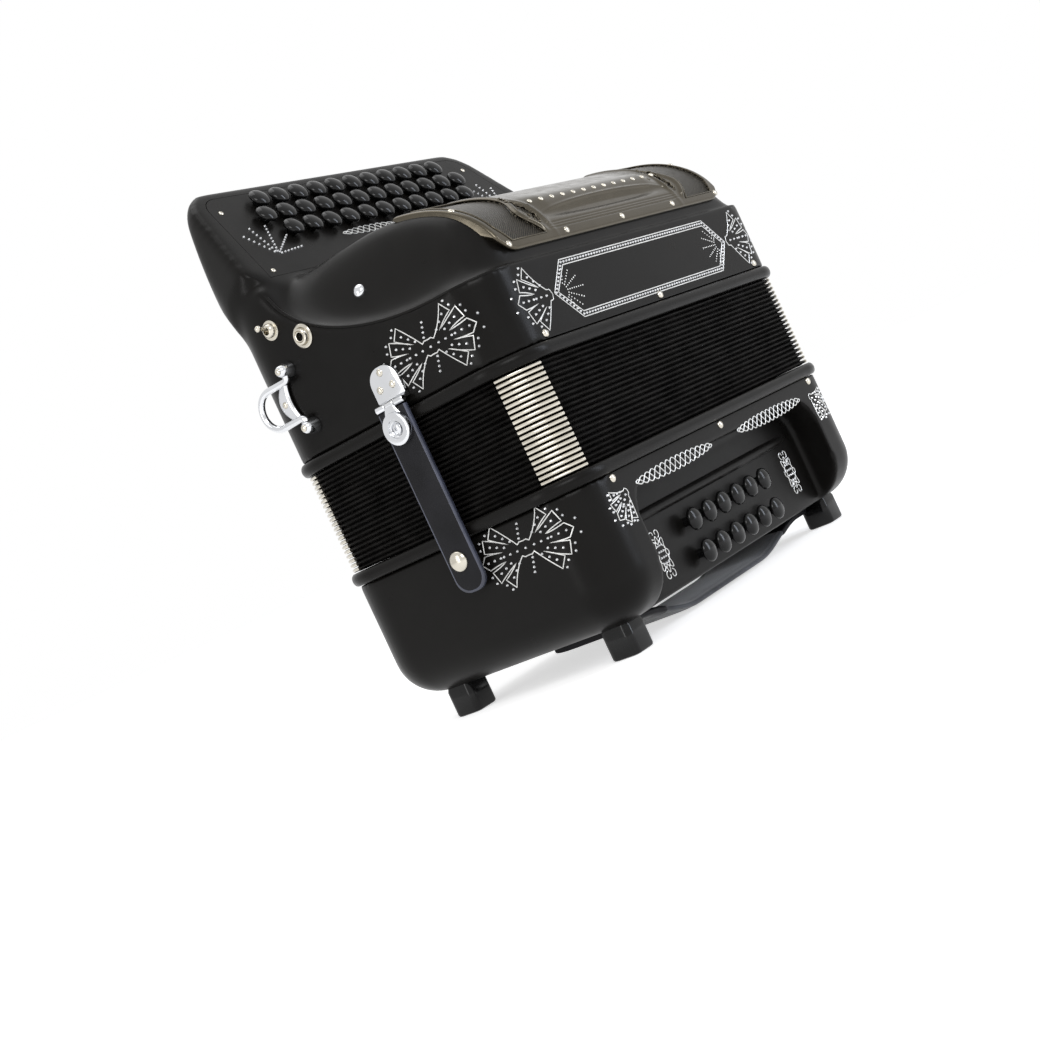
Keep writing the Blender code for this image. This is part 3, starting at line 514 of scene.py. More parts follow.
def turned(bm, profile, at=Matrix(), steps=32):
    """Adds a form turned about the Z axis of at, from (radius, z) points that start and end on the axis."""
    poles = [bm.verts.new(at @ Vector((0, 0, profile[end][1]))) for end in (0, -1)]
    rings = []
    for radius, z in profile[1:-1]:
        circle = [Vector((radius * math.cos(turn), radius * math.sin(turn), z)) for turn in full_turn(steps)]
        rings.append([bm.verts.new(at @ point) for point in circle])
    joined_loops(bm, rings)
    for pole, ring in zip(poles, (rings[0], rings[-1])):
        for index in range(steps):
            bm.faces.new((pole, ring[index - 1], ring[index]))


def facing(point, normal):
    """A matrix at a point, its Z axis along the normal."""
    return Matrix.Translation(point) @ Vector(normal).to_track_quat("Z", "Y").to_matrix().to_4x4()


def wires(name, paths, radius, finish, sides=3, closed=False):
    """Round wires along paths of points, as one mesh."""
    curve = bpy.data.curves.new(name, "CURVE")
    curve.dimensions = "3D"
    curve.bevel_depth = radius
    curve.bevel_resolution = sides
    curve.use_fill_caps = not closed
    for path in paths:
        spline = curve.splines.new("POLY")
        spline.points.add(len(path) - 1)
        for point, at in zip(spline.points, path):
            point.co = (*at, 1)
        spline.use_cyclic_u = closed
    mesh = evaluated(helper(name, curve))
    bm = bmesh.new()
    bm.from_mesh(mesh)
    bpy.data.meshes.remove(mesh)
    return skinned(bm, name, finish, sharp=50)


def smooth_step(value):
    value = min(max(value, 0.0), 1.0)
    return value * value * (3 - 2 * value)


def steps_between(low, high, count):
    return [low + (high - low) * step / count for step in range(count + 1)]


def full_turn(count):
    return [2 * math.pi * step / count for step in range(count)]


def squared(value, power):
    """A sine or cosine pushed outwards, which makes a round section squarer."""
    return math.copysign(abs(value) ** power, value)


def bell(value):
    return math.exp(-value * value)


def in_mm(points):
    """Pairs written in millimetres, as metres."""
    return [(one * MM, other * MM) for one, other in points]


def dome_profile(radius, rise, base, steps=9):
    """(radius, z) points of a dome, from its top on the axis down to its rim at base."""
    turns = [math.pi / 2 * step / steps for step in range(1, steps + 1)]
    return [(0, base + rise)] + [(radius * math.sin(turn), base + rise * math.cos(turn)) for turn in turns]


def on_wall(length, z, lift=0.0):
    """(point, normal) on the case's wall, length measured round it from the middle of the front."""
    radius = bpy.context.scene.accordion_shape.corner_radius
    side, reach = math.copysign(1, length), abs(length)
    straight = HALF_LENGTH - radius
    if reach <= straight:
        x, y, nx, ny = reach, -HALF_DEPTH, 0.0, -1.0
    elif reach <= straight + radius * math.pi / 2:
        turn = (reach - straight) / radius
        nx, ny = math.sin(turn), -math.cos(turn)
        x, y = straight + radius * nx, radius - HALF_DEPTH + radius * ny
    else:
        x, y, nx, ny = HALF_LENGTH, reach - straight - radius * math.pi / 2 + radius - HALF_DEPTH, 1.0, 0.0
    return Vector((side * (x + lift * nx), y + lift * ny, z)), Vector((side * nx, ny, 0))


def end_length(y):
    """The wall length of a point of the left end face."""
    radius = bpy.context.scene.accordion_shape.corner_radius
    return -(HALF_LENGTH - radius + radius * math.pi / 2 + y + HALF_DEPTH - radius)


# ---------------------------------------------------------------- the treble end's surface
def lip_height(y):
    lip = bpy.context.scene.accordion_shape.lip_height
    start = -HALF_DEPTH + LIP_FLAT
    share = min(max((y - start) / (KEY_FOOT_Y - start), 0), 1)
    return CROWN_HEIGHT - (CROWN_HEIGHT - lip) * math.sqrt(1 - share * share)


def crown_height(y):
    lip = bpy.context.scene.accordion_shape.lip_height
    share = min(max(-y / CROWN_REACH, 0), 1)
    return lip + (CROWN_HEIGHT - lip) * (1 - share**CROWN_POWER) ** (1 / CROWN_POWER)


def outline_half_length(y):
    radius = bpy.context.scene.accordion_shape.corner_radius
    into = max(abs(y) - (HALF_DEPTH - radius), 0)
    return HALF_LENGTH - radius + math.sqrt(max(radius**2 - into**2, 0))


def top_height(x, y):
    width = bpy.context.scene.accordion_shape.shoulder_width
    lip = lip_height(y)
    share = smooth_step((outline_half_length(y) - LIP_WIDTH - abs(x)) / width)
    return lip + (max(crown_height(y), lip) - lip) * share


def crown_point(angle, offset=0.0):
    """(y, z) on the crown's curve at this angle up from its front edge, moved outwards by offset."""
    lip = bpy.context.scene.accordion_shape.lip_height
    power = 2 / CROWN_POWER
    y = -(CROWN_REACH + offset) * math.cos(angle) ** power
    return y, TREBLE_Z + lip + (CROWN_HEIGHT - lip + offset) * math.sin(angle) ** power


def crown_block(bm, shape):
    """A closed block under the treble end's swept surface."""
    radius = shape.corner_radius
    arc = [math.radians(angle) for angle in range(0, 91, 9)]
    inner = HALF_DEPTH - radius
    rows = [-inner - radius * math.sin(a) for a in reversed(arc)] + steps_between(-inner, inner, 60)[1:-1]
    rows += [inner + radius * math.sin(a) for a in arc]
    edge = [0, 1.0 * MM, LIP_WIDTH] + [LIP_WIDTH + shape.shoulder_width * k / 18 for k in range(1, 19)]
    tops, floors = [], []
    for y in rows:
        half = outline_half_length(y)
        xs = [-half + d for d in edge] + steps_between(-half + edge[-1], half - edge[-1], 6)[1:-1]
        xs += [half - d for d in reversed(edge)]
        tops.append([bm.verts.new((x, y, TREBLE_Z + top_height(x, y))) for x in xs])
        floors.append([bm.verts.new((x, y, TREBLE_Z)) for x in xs])
    for grid in (tops, floors):
        for one, other in zip(grid, grid[1:]):
            for k in range(len(one) - 1):
                bm.faces.new((one[k], one[k + 1], other[k + 1], other[k]))
    rims = [[row[0] for row in grid] + grid[-1][1:-1] + [row[-1] for row in reversed(grid)] + grid[0][-2:0:-1]
            for grid in (tops, floors)]
    joined_loops(bm, rims)


def keyboard_block():
    """The raised keyboard: its outline carried back from its plane and cut to its plan and side profile."""
    foot, wide, narrow = HALF_LENGTH - 12.6 * MM, HALF_LENGTH, HALF_LENGTH - 21.6 * MM
    half = [(122 * MM, -KEY_LOWER - 18 * MM, 0), (foot, -KEY_LOWER, 0), (wide, 13 * MM - KEY_LOWER, 0),
            (narrow, KEY_UPPER, 27 * MM)]
    outline = rounded(half + [(-x, s, radius) for x, s, radius in reversed(half)])
    back, ledge = HALF_DEPTH + KEY_OVERHANG, TREBLE_Z + CROWN_HEIGHT
    wall = HALF_DEPTH - 5 * MM
    low, high = TREBLE_Z + 30 * MM, ledge + 0.2
    side = [(0, low), (wall, low), (wall, ledge - 8 * MM), (back, ledge + 5 * MM), (back, high), (0, high)]
    radius = bpy.context.scene.accordion_shape.corner_radius
    plan = rounded([(HALF_LENGTH, -back, radius), (HALF_LENGTH, back, radius),
                    (-HALF_LENGTH, back, radius), (-HALF_LENGTH, -back, radius)])
    solids = []
    for name, points, low, high, at in (
        ("keyboard_block", outline, -KEY_DEPTH, 0, KEYBOARD),
        ("keyboard_side", side, -0.5, 0.5, ALONG_X),
        ("keyboard_plan", plan, 0, 0.6, Matrix()),
    ):
        bm = bmesh.new()
        prism(bm, points, low, high, at)
        solids.append(helper(name, skinned(bm, name, "case")))
    cut_by(solids[0], "INTERSECT", *solids[1:])
    mesh = evaluated(solids[0])
    for solid in solids[1:]:
        bpy.data.objects.remove(solid)
    return mesh


def cut_by(obj, operation, *others):
    for other in others:
        modifier = obj.modifiers.new(other.name, "BOOLEAN")
        modifier.operation = operation
        modifier.object = other


def moulded(bm, name, detail, rounds, softer=None):
    """One seamless skin over overlapping closed forms, its edges rounded, and rounder where softer asks."""
    obj = helper(name, skinned(bm, name, "case"))
    remesh = obj.modifiers.new("skin", "REMESH")
    remesh.mode = "VOXEL"
    remesh.voxel_size = detail
    remesh.use_smooth_shade = True
    smooth = obj.modifiers.new("rounding", "SMOOTH")
    smooth.factor = 0.5
    smooth.iterations = rounds
    mesh = evaluated(obj)
    if softer:
        obj = helper(name, mesh)
        group = obj.vertex_groups.new(name="softer")
        for vertex in mesh.vertices:
            group.add([vertex.index], softer(vertex.co), "REPLACE")
        smooth = obj.modifiers.new("rounder", "SMOOTH")
        smooth.factor = 0.5
        smooth.iterations = 70
        smooth.vertex_group = group.name
        mesh = evaluated(obj)
    return mesh


def cut_mesh(mesh, cutter_bm, name):
    """The mesh with a closed cutter taken out of it."""
    obj = helper(name, mesh)
    cutter = helper(name + "_cutter", skinned(cutter_bm, name + "_cutter", "case"))
    cut_by(obj, "DIFFERENCE", cutter)
    mesh = evaluated(obj)
    bpy.data.objects.remove(cutter)
    return mesh


def dressed(mesh, finish):
    mesh.materials.clear()
    mesh.materials.append(finish_named(finish))
    mesh.polygons.foreach_set("material_index", [0] * len(mesh.polygons))
    mesh.shade_smooth()
    mesh.set_sharp_from_angle(angle=math.radians(42))
    return mesh


def plate_outline(grow):
    low, high = -KEY_LOWER + 6 * MM - grow, KEY_UPPER - 9 * MM + grow
    wide, narrow = HALF_LENGTH - 16.6 * MM + grow, HALF_LENGTH - 30.6 * MM + grow
    return rounded([(wide, low, 0), (narrow, high, 15 * MM), (-narrow, high, 15 * MM), (-wide, low, 0)])


def keyboard_softness(point):
    """How much rounder the skin is at a point: 1 over the keyboard body, falling to 0 on the case's walls."""
    s = (KEYBOARD.inverted() @ point).y
    rise = point.z - TREBLE_Z
    top = smooth_step((s + 60 * MM) / (16 * MM)) * smooth_step((rise - CROWN_HEIGHT + 14 * MM) / (16 * MM))
    behind_foot = smooth_step((point.y - KEY_FOOT_Y + 12 * MM) / (18 * MM))
    near_end = smooth_step((abs(point.x) - 116 * MM) / (14 * MM))
    above_lip = smooth_step((rise - 56 * MM) / (24 * MM))
    return max(top, behind_foot * (near_end * above_lip))


def treble_case(shape):
    """The treble end's seamless shell, with the shallow seat that the keyboard plate lies in."""
    bm = bmesh.new()
    crown_block(bm, shape)
    block = keyboard_block()
    bm.from_mesh(block)
    bpy.data.meshes.remove(block)
    mesh = moulded(bm, "treble_case", shape.skin_detail, 4, keyboard_softness)
    seat = bmesh.new()
    prism(seat, plate_outline(0.3 * MM), -3.3 * MM, 5 * MM, KEYBOARD)
    mesh = dressed(cut_mesh(mesh, seat, "treble_case"), "case")
    finished_piece("treble_case", mesh, "treble_side", "case", "treble_casing")


def treble_lip_line(shape):
    """The raised line along the lip, from the keyboard's foot on one end round the front to the other."""
    inset = 1.3 * MM
    radius = shape.corner_radius - inset
    corner_y = -HALF_DEPTH + shape.corner_radius
    path = []
    for side in (-1, 1):
        spots = [(HALF_LENGTH - inset, y) for y in steps_between(KEY_FOOT_Y - 1 * MM, corner_y, 40)]
        for step in range(1, 15):
            turn = math.pi / 2 * step / 14
            x = HALF_LENGTH - shape.corner_radius + radius * math.cos(turn)
            spots.append((x, corner_y - radius * math.sin(turn)))
        points = [Vector((side * x, y, TREBLE_Z + lip_height(y))) for x, y in spots]
        path += points if side < 0 else points[::-1]
    mesh = wires("treble_lip_line", [path], 0.95 * MM, "case", sides=2)
    finished_piece("treble_lip_line", mesh, "treble_side", "case")


# ---------------------------------------------------------------- the grille
# A place on the grille is x along it and t up its sweep, from 0 at its front edge to 1 under the keyboard.
GRILLE_SWEEP = (math.radians(5.8), math.radians(71.5))
WINDOW_T = (0.075, 0.9)
WINDOW_RIM = 2 * MM
SLIVER_X, SLIVER_HALF_X = 81 * MM, 3.4 * MM
SLIVER_T, SLIVER_HALF_T = 0.385, 0.2
GRILLE_SCREWS = ((-124, 0.03), (-64, 0.055), (0, 0.055), (64, 0.055), (124, 0.03), (-127.5, 0.55),
                 (127.5, 0.55))
STUD_PITCH = 12 * MM
STUD_T = 0.4


def grille_relief(x, t):
    """How far the grille stands out at x along it and t up its sweep, in metres."""
    reach = abs(x)
    saddle = saddle_line(t)
    height = -0.9 * MM if in_window(x, t) else 0.0
    height += 1.5 * MM * bell((reach - saddle + 1 * MM) / (2.4 * MM)) * smooth_step((t - 0.06) / 0.1)
    height += 1.2 * MM * bell((reach - 75 * MM) / (2.2 * MM)) * bell((t - 0.38) / 0.24)
    height += 3.0 * MM * bell((t - 0.43) / 0.12) * smooth_step((79 * MM - reach) / (22 * MM))
    lens = math.sqrt(max(1 - (reach / (74 * MM)) ** 2, 0))
    height -= 2.6 * MM * bell((t - 0.25) / 0.05) * lens
    height += 0.9 * MM * bell((t - 0.25 - 0.085 * lens) / 0.014) * lens
    for groove in (0.1, 0.125, 0.15):
        height -= 0.45 * MM * bell((t - groove) / 0.007) * smooth_step((84 * MM - reach) / (14 * MM))
    return height


def saddle_line(t):
    """Half length at which the raised saddle between the wire mesh and the middle crosses t."""
    return (80 + 12 * bell((t - 0.3) / 0.18)) * MM


def window_end(t):
    """Half length at which the outer window ends, drawn in near its lower corner."""
    return 125 * MM - 9 * MM * max(0, 0.2 - t) / 0.2


def in_window(x, t):
    reach = abs(x)
    outer = saddle_line(t) + WINDOW_RIM < reach < window_end(t) and WINDOW_T[0] < t < WINDOW_T[1]
    across = math.sqrt(max(1 - ((t - SLIVER_T) / SLIVER_HALF_T) ** 2, 0))
    return outer or abs(reach - SLIVER_X) < SLIVER_HALF_X * across


def grille_corner(x):
    """The lower corners of the grille are rounded: how much of its sweep is cut away at x."""
    into = max(abs(x) - 117 * MM, 0) / (14 * MM)
    return 0.2 * (1 - math.sqrt(max(1 - into * into, 0)))


def grille_at(x, t, out):
    low, high = GRILLE_SWEEP
    cut = grille_corner(x)
    angle = low + (high - low) * (cut + (1 - cut) * t)
    y, z = crown_point(angle, out)
    return Vector((x, y, z))


def grille_out(x, t, thickness):
    """The grille's height over the crown, with its rounded edge."""
    edge = min((GRILLE_HALF - abs(x)) / (2.2 * MM), t / 0.03, (1 - t) / 0.03, 1)
    rounding = math.sqrt(max(1 - (1 - max(edge, 0)) ** 2, 0))
    out = 0.35 * MM + (thickness - 0.2 * MM) * (0.25 + 0.75 * rounding) + grille_relief(x, t)
    return max(out, 0.6 * MM)


def window_rims(thickness):
    """Closed paths round the two windows of wire mesh at each end."""
    for side in (-1, 1):
        inner = [(saddle_line(t) + WINDOW_RIM, t) for t in steps_between(*WINDOW_T, 60)]
        outer = [(window_end(t), t) for t in steps_between(*reversed(WINDOW_T), 40)]
        sliver = [(SLIVER_X + SLIVER_HALF_X * math.sin(turn), SLIVER_T - SLIVER_HALF_T * math.cos(turn))
                  for turn in full_turn(60)]
        for path in (inner + outer, sliver):
            yield [grille_at(side * x, t, grille_out(x, t, thickness) + 0.1 * MM) for x, t in path]


def treble_grille(shape):
    xs = steps_between(-GRILLE_HALF, GRILLE_HALF, 420)
    ts = steps_between(0, 1, 170)
    bm = bmesh.new()
    top = [[bm.verts.new(grille_at(x, t, grille_out(x, t, shape.grille_thickness))) for t in ts] for x in xs]
    under = [[bm.verts.new(grille_at(x, t, 0.3 * MM)) for t in (0, 1)] for x in xs]
    for i in range(len(xs) - 1):
        for k in range(len(ts) - 1):
            face = bm.faces.new((top[i][k], top[i + 1][k], top[i + 1][k + 1], top[i][k + 1]))
            face.material_index = int(in_window((xs[i] + xs[i + 1]) / 2, (ts[k] + ts[k + 1]) / 2))
        bm.faces.new((under[i][0], under[i + 1][0], under[i + 1][1], under[i][1]))
        for end in (0, -1):
            bm.faces.new((top[i][end], top[i + 1][end], under[i + 1][end], under[i][end]))
    for i in (0, -1):
        bm.faces.new(top[i] + under[i][::-1])
    mesh = skinned(bm, "treble_grille", "smoked", "wire_mesh", sharp=55)
    finished_piece("grille_cover", mesh, "treble_side", "grille", "treble_grille")
    rims = wires("grille_window_rims", window_rims(shape.grille_thickness), 0.55 * MM, "smoked", closed=True)
    finished_piece("grille_window_rims", rims, "treble_side", "grille")
    places = [grille_place(x * MM, t, shape.grille_thickness) for x, t in GRILLE_SCREWS]
    heads = dotted("grille_screws", places, dome_tree(), 2.1 * MM, 1.2 * MM, "nickel")
    finished_piece("grille_screws", heads, "treble_side", "metal")
    out = shape.grille_thickness + grille_relief(0, STUD_T)
    studs = [grille_place(index * STUD_PITCH, STUD_T, out) for index in range(-6, 7)]
    mesh = dotted("grille_studs", studs, dome_tree(), 1.7 * MM, 1.1 * MM, "nickel")
    finished_piece("grille_studs", mesh, "treble_side", "metal")


def grille_place(x, t, out):
    """(point, normal) on the grille."""
    here = grille_at(x, t, out)
    along = grille_at(x, t + 0.01, out) - here
    return here, Vector((1, 0, 0)).cross(along).normalized()


# ---------------------------------------------------------------- repeated small pieces
def new_tree(name, numbers):
    """A geometry tree with a Geometry input, named number inputs and a Finish input."""
    tree = bpy.data.node_groups.new(name, "GeometryNodeTree")
    tree.interface.new_socket("Geometry", in_out="INPUT", socket_type="NodeSocketGeometry")
    for label, kind in numbers:
        tree.interface.new_socket(label, in_out="INPUT", socket_type=kind)
    tree.interface.new_socket("Finish", in_out="INPUT", socket_type="NodeSocketMaterial")
    tree.interface.new_socket("Geometry", in_out="OUTPUT", socket_type="NodeSocketGeometry")
    return tree, tree.nodes.new("NodeGroupInput"), tree.nodes.new("NodeGroupOutput")


def ended(tree, source, given, result):
    """Ends a tree by making its copies real and giving them their material."""
    real = tree.nodes.new("GeometryNodeRealizeInstances")
    paint = tree.nodes.new("GeometryNodeSetMaterial")
    tree.links.new(source, real.inputs["Geometry"])
    tree.links.new(real.outputs["Geometry"], paint.inputs["Geometry"])
    tree.links.new(given.outputs["Finish"], paint.inputs["Material"])
    tree.links.new(paint.outputs["Geometry"], result.inputs["Geometry"])
    return tree


def scattered(tree, shape_output, given):
    """Copies of a shape on every point, turned to its facing attribute."""
    copies = tree.nodes.new("GeometryNodeInstanceOnPoints")
    direction = tree.nodes.new("GeometryNodeInputNamedAttribute")
    direction.data_type = "FLOAT_VECTOR"
    direction.inputs["Name"].default_value = "facing"
    turn = tree.nodes.new("FunctionNodeAlignRotationToVector")
    turn.axis = "Z"
    tree.links.new(direction.outputs["Attribute"], turn.inputs["Vector"])
    tree.links.new(given.outputs["Geometry"], copies.inputs["Points"])
    tree.links.new(shape_output, copies.inputs["Instance"])
    tree.links.new(turn.outputs["Rotation"], copies.inputs["Rotation"])
    return copies.outputs["Instances"]


def dome_tree():
    """Round heads: a ball flattened to its height, on every point."""
    if "round_heads" in bpy.data.node_groups:
        return bpy.data.node_groups["round_heads"]
    numbers = [("Radius", "NodeSocketFloat"), ("Height", "NodeSocketFloat")]
    tree, given, result = new_tree("round_heads", numbers)
    ball = tree.nodes.new("GeometryNodeMeshUVSphere")
    ball.inputs["Segments"].default_value = 16
    ball.inputs["Rings"].default_value = 9
    ball.inputs["Radius"].default_value = 1
    size = tree.nodes.new("ShaderNodeCombineXYZ")
    flat = tree.nodes.new("GeometryNodeTransform")
    for target in ("X", "Y"):
        tree.links.new(given.outputs["Radius"], size.inputs[target])
    tree.links.new(given.outputs["Height"], size.inputs["Z"])
    tree.links.new(ball.outputs["Mesh"], flat.inputs["Geometry"])
    tree.links.new(size.outputs["Vector"], flat.inputs["Scale"])
    return ended(tree, scattered(tree, flat.outputs["Geometry"], given), given, result)


def stone_tree():
    """Cut stones: an eight-sided table over sloping facets, on every point."""
    if "cut_stones" in bpy.data.node_groups:
        return bpy.data.node_groups["cut_stones"]
    numbers = [("Radius", "NodeSocketFloat"), ("Height", "NodeSocketFloat")]
    tree, given, result = new_tree("cut_stones", numbers)
    half = tree.nodes.new("ShaderNodeMath")
    half.operation = "MULTIPLY"
    half.inputs[1].default_value = 0.5
    tree.links.new(given.outputs["Radius"], half.inputs[0])
    cone = tree.nodes.new("GeometryNodeMeshCone")
    cone.inputs["Vertices"].default_value = 8
    tree.links.new(half.outputs[0], cone.inputs["Radius Top"])
    tree.links.new(given.outputs["Radius"], cone.inputs["Radius Bottom"])
    tree.links.new(given.outputs["Height"], cone.inputs["Depth"])
    return ended(tree, scattered(tree, cone.outputs["Mesh"], given), given, result)


def clip_tree():
    """Corner clips: a rounded channel bent round a quarter turn, one on each fold."""
    numbers = [("Count", "NodeSocketInt"), ("Pitch", "NodeSocketFloat"), ("Bend", "NodeSocketFloat"),
               ("Thickness", "NodeSocketFloat"), ("Sweep", "NodeSocketFloat")]
    tree, given, result = new_tree("corner_clips", numbers)
    arc = tree.nodes.new("GeometryNodeCurveArc")
    arc.inputs["Resolution"].default_value = 14
    section = tree.nodes.new("GeometryNodeCurvePrimitiveCircle")
    section.inputs["Resolution"].default_value = 8
    skin = tree.nodes.new("GeometryNodeCurveToMesh")
    skin.inputs["Fill Caps"].default_value = True
    row = tree.nodes.new("GeometryNodeMeshLine")
    copies = tree.nodes.new("GeometryNodeInstanceOnPoints")
    step = tree.nodes.new("ShaderNodeCombineXYZ")
    tree.links.new(given.outputs["Bend"], arc.inputs["Radius"])
    tree.links.new(given.outputs["Sweep"], arc.inputs["Sweep Angle"])
    tree.links.new(given.outputs["Thickness"], section.inputs["Radius"])
    tree.links.new(arc.outputs["Curve"], skin.inputs["Curve"])
    tree.links.new(section.outputs["Curve"], skin.inputs["Profile Curve"])
    tree.links.new(given.outputs["Pitch"], step.inputs["Z"])
    tree.links.new(given.outputs["Count"], row.inputs["Count"])
    tree.links.new(step.outputs["Vector"], row.inputs["Offset"])
    tree.links.new(row.outputs["Mesh"], copies.inputs["Points"])
    tree.links.new(skin.outputs["Mesh"], copies.inputs["Instance"])
    return ended(tree, copies.outputs["Instances"], given, result)


def grown(name, mesh, tree, finish, **values):
    """The plain mesh that a geometry tree makes on a mesh, its inputs set by their names' identifiers."""
    obj = helper(name, mesh)
    modifier = obj.modifiers.new(name, "NODES")
    modifier.node_group = tree
    values["Finish"] = finish_named(finish)
    for item in tree.interface.items_tree:
        if item.in_out == "INPUT" and item.name in values:
            modifier[item.identifier] = values[item.name]
    made = evaluated(obj)
    bm = bmesh.new()
    bm.from_mesh(made)
    bpy.data.meshes.remove(made)
    return skinned(bm, name, finish, sharp=30)


def dotted(name, places, tree, radius, height, finish):
    """One small shape on each (point, normal) place."""
    mesh = bpy.data.meshes.new(name + "_places")
    mesh.from_pydata([point for point, _ in places], [], [])
    facings = mesh.attributes.new("facing", "FLOAT_VECTOR", "POINT")
    facings.data.foreach_set("vector", [part for _, normal in places for part in normal])
    return grown(name, mesh, tree, finish, Radius=radius, Height=height)


# ---------------------------------------------------------------- keyboard
def keyboard_plate_finish():
    for node in ("keyboard_plate", "treble_reed_block"):
        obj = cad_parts[node]
        finish = finish_named("case" if node == "keyboard_plate" else "wood")
        if obj.material_slots:
            for slot in obj.material_slots:
                slot.material = finish
        else:
            obj.data.materials.append(finish)


BUTTON_RADIUS = 7.2 * MM
BUTTON_DOME = 3.2 * MM
BUTTON_SKIRT = 1.0 * MM
BUTTON_EDGE = 0.35 * MM
STEM_RADIUS = 2.95 * MM


def dome_button(bm, at, stand, stem):
    """Adds a domed cap that stands over the plane of at, on a stem that goes down into it."""
    profile = dome_profile(BUTTON_RADIUS, BUTTON_DOME, stand + BUTTON_SKIRT)
    profile += [(BUTTON_RADIUS, stand + BUTTON_EDGE), (BUTTON_RADIUS - BUTTON_EDGE, stand)]
    profile += [(STEM_RADIUS, stand), (STEM_RADIUS, -stem), (0, -stem)]
    turned(bm, profile, at, 28)


def treble_buttons():
    for row, count in enumerate(ROW_COUNTS):
        for index in range(count):
            node = f"treble_button_{row + 1}_{index + 1:02d}"
            x = (index - (count - 1) / 2) * BUTTON_PITCH
            bm = bmesh.new()
            at = KEYBOARD @ Matrix.Translation((x, (1 - row) * ROW_PITCH, 0))
            dome_button(bm, at, 3.3 * MM, 7 * MM)
            mesh = skinned(bm, node, "gloss", sharp=50)
            finished_piece("cap_" + node, mesh, node, "buttons", node)


def bass_buttons():
    for row in range(2):
        for column in range(6):
            node = f"bass_button_{row + 1}_{column + 1}"
            x = (column - 2.5) * BASS_PITCH
            point = Vector((x, PANEL_Y, BASS_ROW_Z - row * BASS_ROW_GAP))
            bm = bmesh.new()
            at = Matrix.Translation(point) @ Matrix.Rotation(math.pi / 2, 4, "X")
            dome_button(bm, at, 6 * MM, 12 * MM)
            mesh = skinned(bm, node, "gloss", sharp=50)
            finished_piece("cap_" + node, mesh, node, "buttons", node)


KEYBOARD_SCREWS = ((128.4, 12.7), (82.4, 25.2), (27.5, 25.2), (140.5, -46))


def on_keyboard(x, s):
    """(point, normal) on the keyboard's plane, s measured up its slope from the middle row."""
    return KEYBOARD @ Vector((x, s, 0)), KEYBOARD.to_3x3() @ Vector((0, 0, 1))


def keyboard_screws():
    places = [on_keyboard(side * x, s) for x, s in in_mm(KEYBOARD_SCREWS) for side in (-1, 1)]
    mesh = dotted("keyboard_screws", places, dome_tree(), 1.7 * MM, 0.9 * MM, "nickel")
    finished_piece("keyboard_screws", mesh, "treble_side", "metal")


# ---------------------------------------------------------------- bellows and frames
FOLD_SECTION = ((0.0, -1), (0.16, -0.72), (0.34, -0.16), (0.5, 0), (0.66, -0.16), (0.84, -0.72))


def bellows_folds(shape):
    """Every fold follows one section: (share of the pitch, share of the depth) points, valley to valley."""
    low, high = BELLOWS_LOW.z, BELLOWS_HIGH.z
    pitch = (high - low) / shape.fold_count
    profile = []
    for fold in range(shape.fold_count):
        z = low + fold * pitch
        for share, out in FOLD_SECTION:
            profile.append((out * shape.fold_depth, z + share * pitch))
    profile += [(-shape.fold_depth, high), (-BELLOWS_WALL, high), (-BELLOWS_WALL, low)]
    mesh = band("bellows_folds", profile, "cloth", sharp=80)
    finished_piece("bellows_folds", mesh, "bellows", "bellows", "bellows")


def bellows_clips(shape):
    """A column of clips on each corner, every clip centred on its corner's arc."""
    clip_sweep = math.radians(54)
    low, high = BELLOWS_LOW.z, BELLOWS_HIGH.z
    pitch = (high - low) / shape.fold_count
    radius = shape.corner_radius
    meshes = bmesh.new()
    for side_x, side_y, turn in ((1, 1, 0), (-1, 1, 1), (-1, -1, 2), (1, -1, 3)):
        start = bpy.data.meshes.new("clip_start")
        made = grown("clips", start, clip_tree(), "nickel", Count=shape.fold_count, Pitch=pitch,
                     Bend=radius - 0.75 * MM, Thickness=1.15 * MM, Sweep=clip_sweep)
        x, y = side_x * (HALF_LENGTH - radius), side_y * (HALF_DEPTH - radius)
        facing_out = math.pi / 2 * turn + (math.pi / 2 - clip_sweep) / 2
        made.transform(Matrix.Translation((x, y, low + pitch / 2)) @ Matrix.Rotation(facing_out, 4, "Z"))
        meshes.from_mesh(made)
        bpy.data.meshes.remove(made)
    mesh = skinned(meshes, "bellows_corner_clips", "nickel", sharp=60)
    finished_piece("bellows_corner_clips", mesh, "bellows", "metal")


def bellows_frames():
    """The two frames that the bellows are pinned in, each with a half-round edge."""
    for node, body in (("bass_bellows_frame", "bass_side"), ("treble_bellows_frame", "treble_side")):
        low, high = (corner.z for corner in node_box(node))
        middle, half = (low + high) / 2, (high - low) / 2
        profile = [(-BELLOWS_WALL, low), (0.2 * MM, low)]
        for angle in range(-80, 81, 10):
            turn = math.radians(angle)
            out = 0.3 * MM + (RIB_PROUD - 1.2 * MM) * math.cos(turn)
            profile.append((out, middle + half * math.sin(turn)))
        profile += [(0.2 * MM, high), (-BELLOWS_WALL, high)]
        mesh = band(node + "_edge", profile, "case", sharp=60)
        finished_piece(node + "_edge", mesh, body, "frame", node)


def frame_screws():
    for name, body, z in (("treble_frame_screws", "treble_side", TREBLE_Z + 3.4 * MM),
                          ("bass_frame_screws", "bass_side", BASS_TOP - 2.9 * MM)):
        places = []
        for length in (-130, 0, 130):
            point, normal = on_wall(length * MM, z)
            places.append((point, normal))
            places.append((Vector((point.x, -point.y, z)), Vector((normal.x, -normal.y, 0))))
        mesh = dotted(name, places, dome_tree(), 2.6 * MM, 1.6 * MM, "nickel")
        finished_piece(name, mesh, body, "metal")


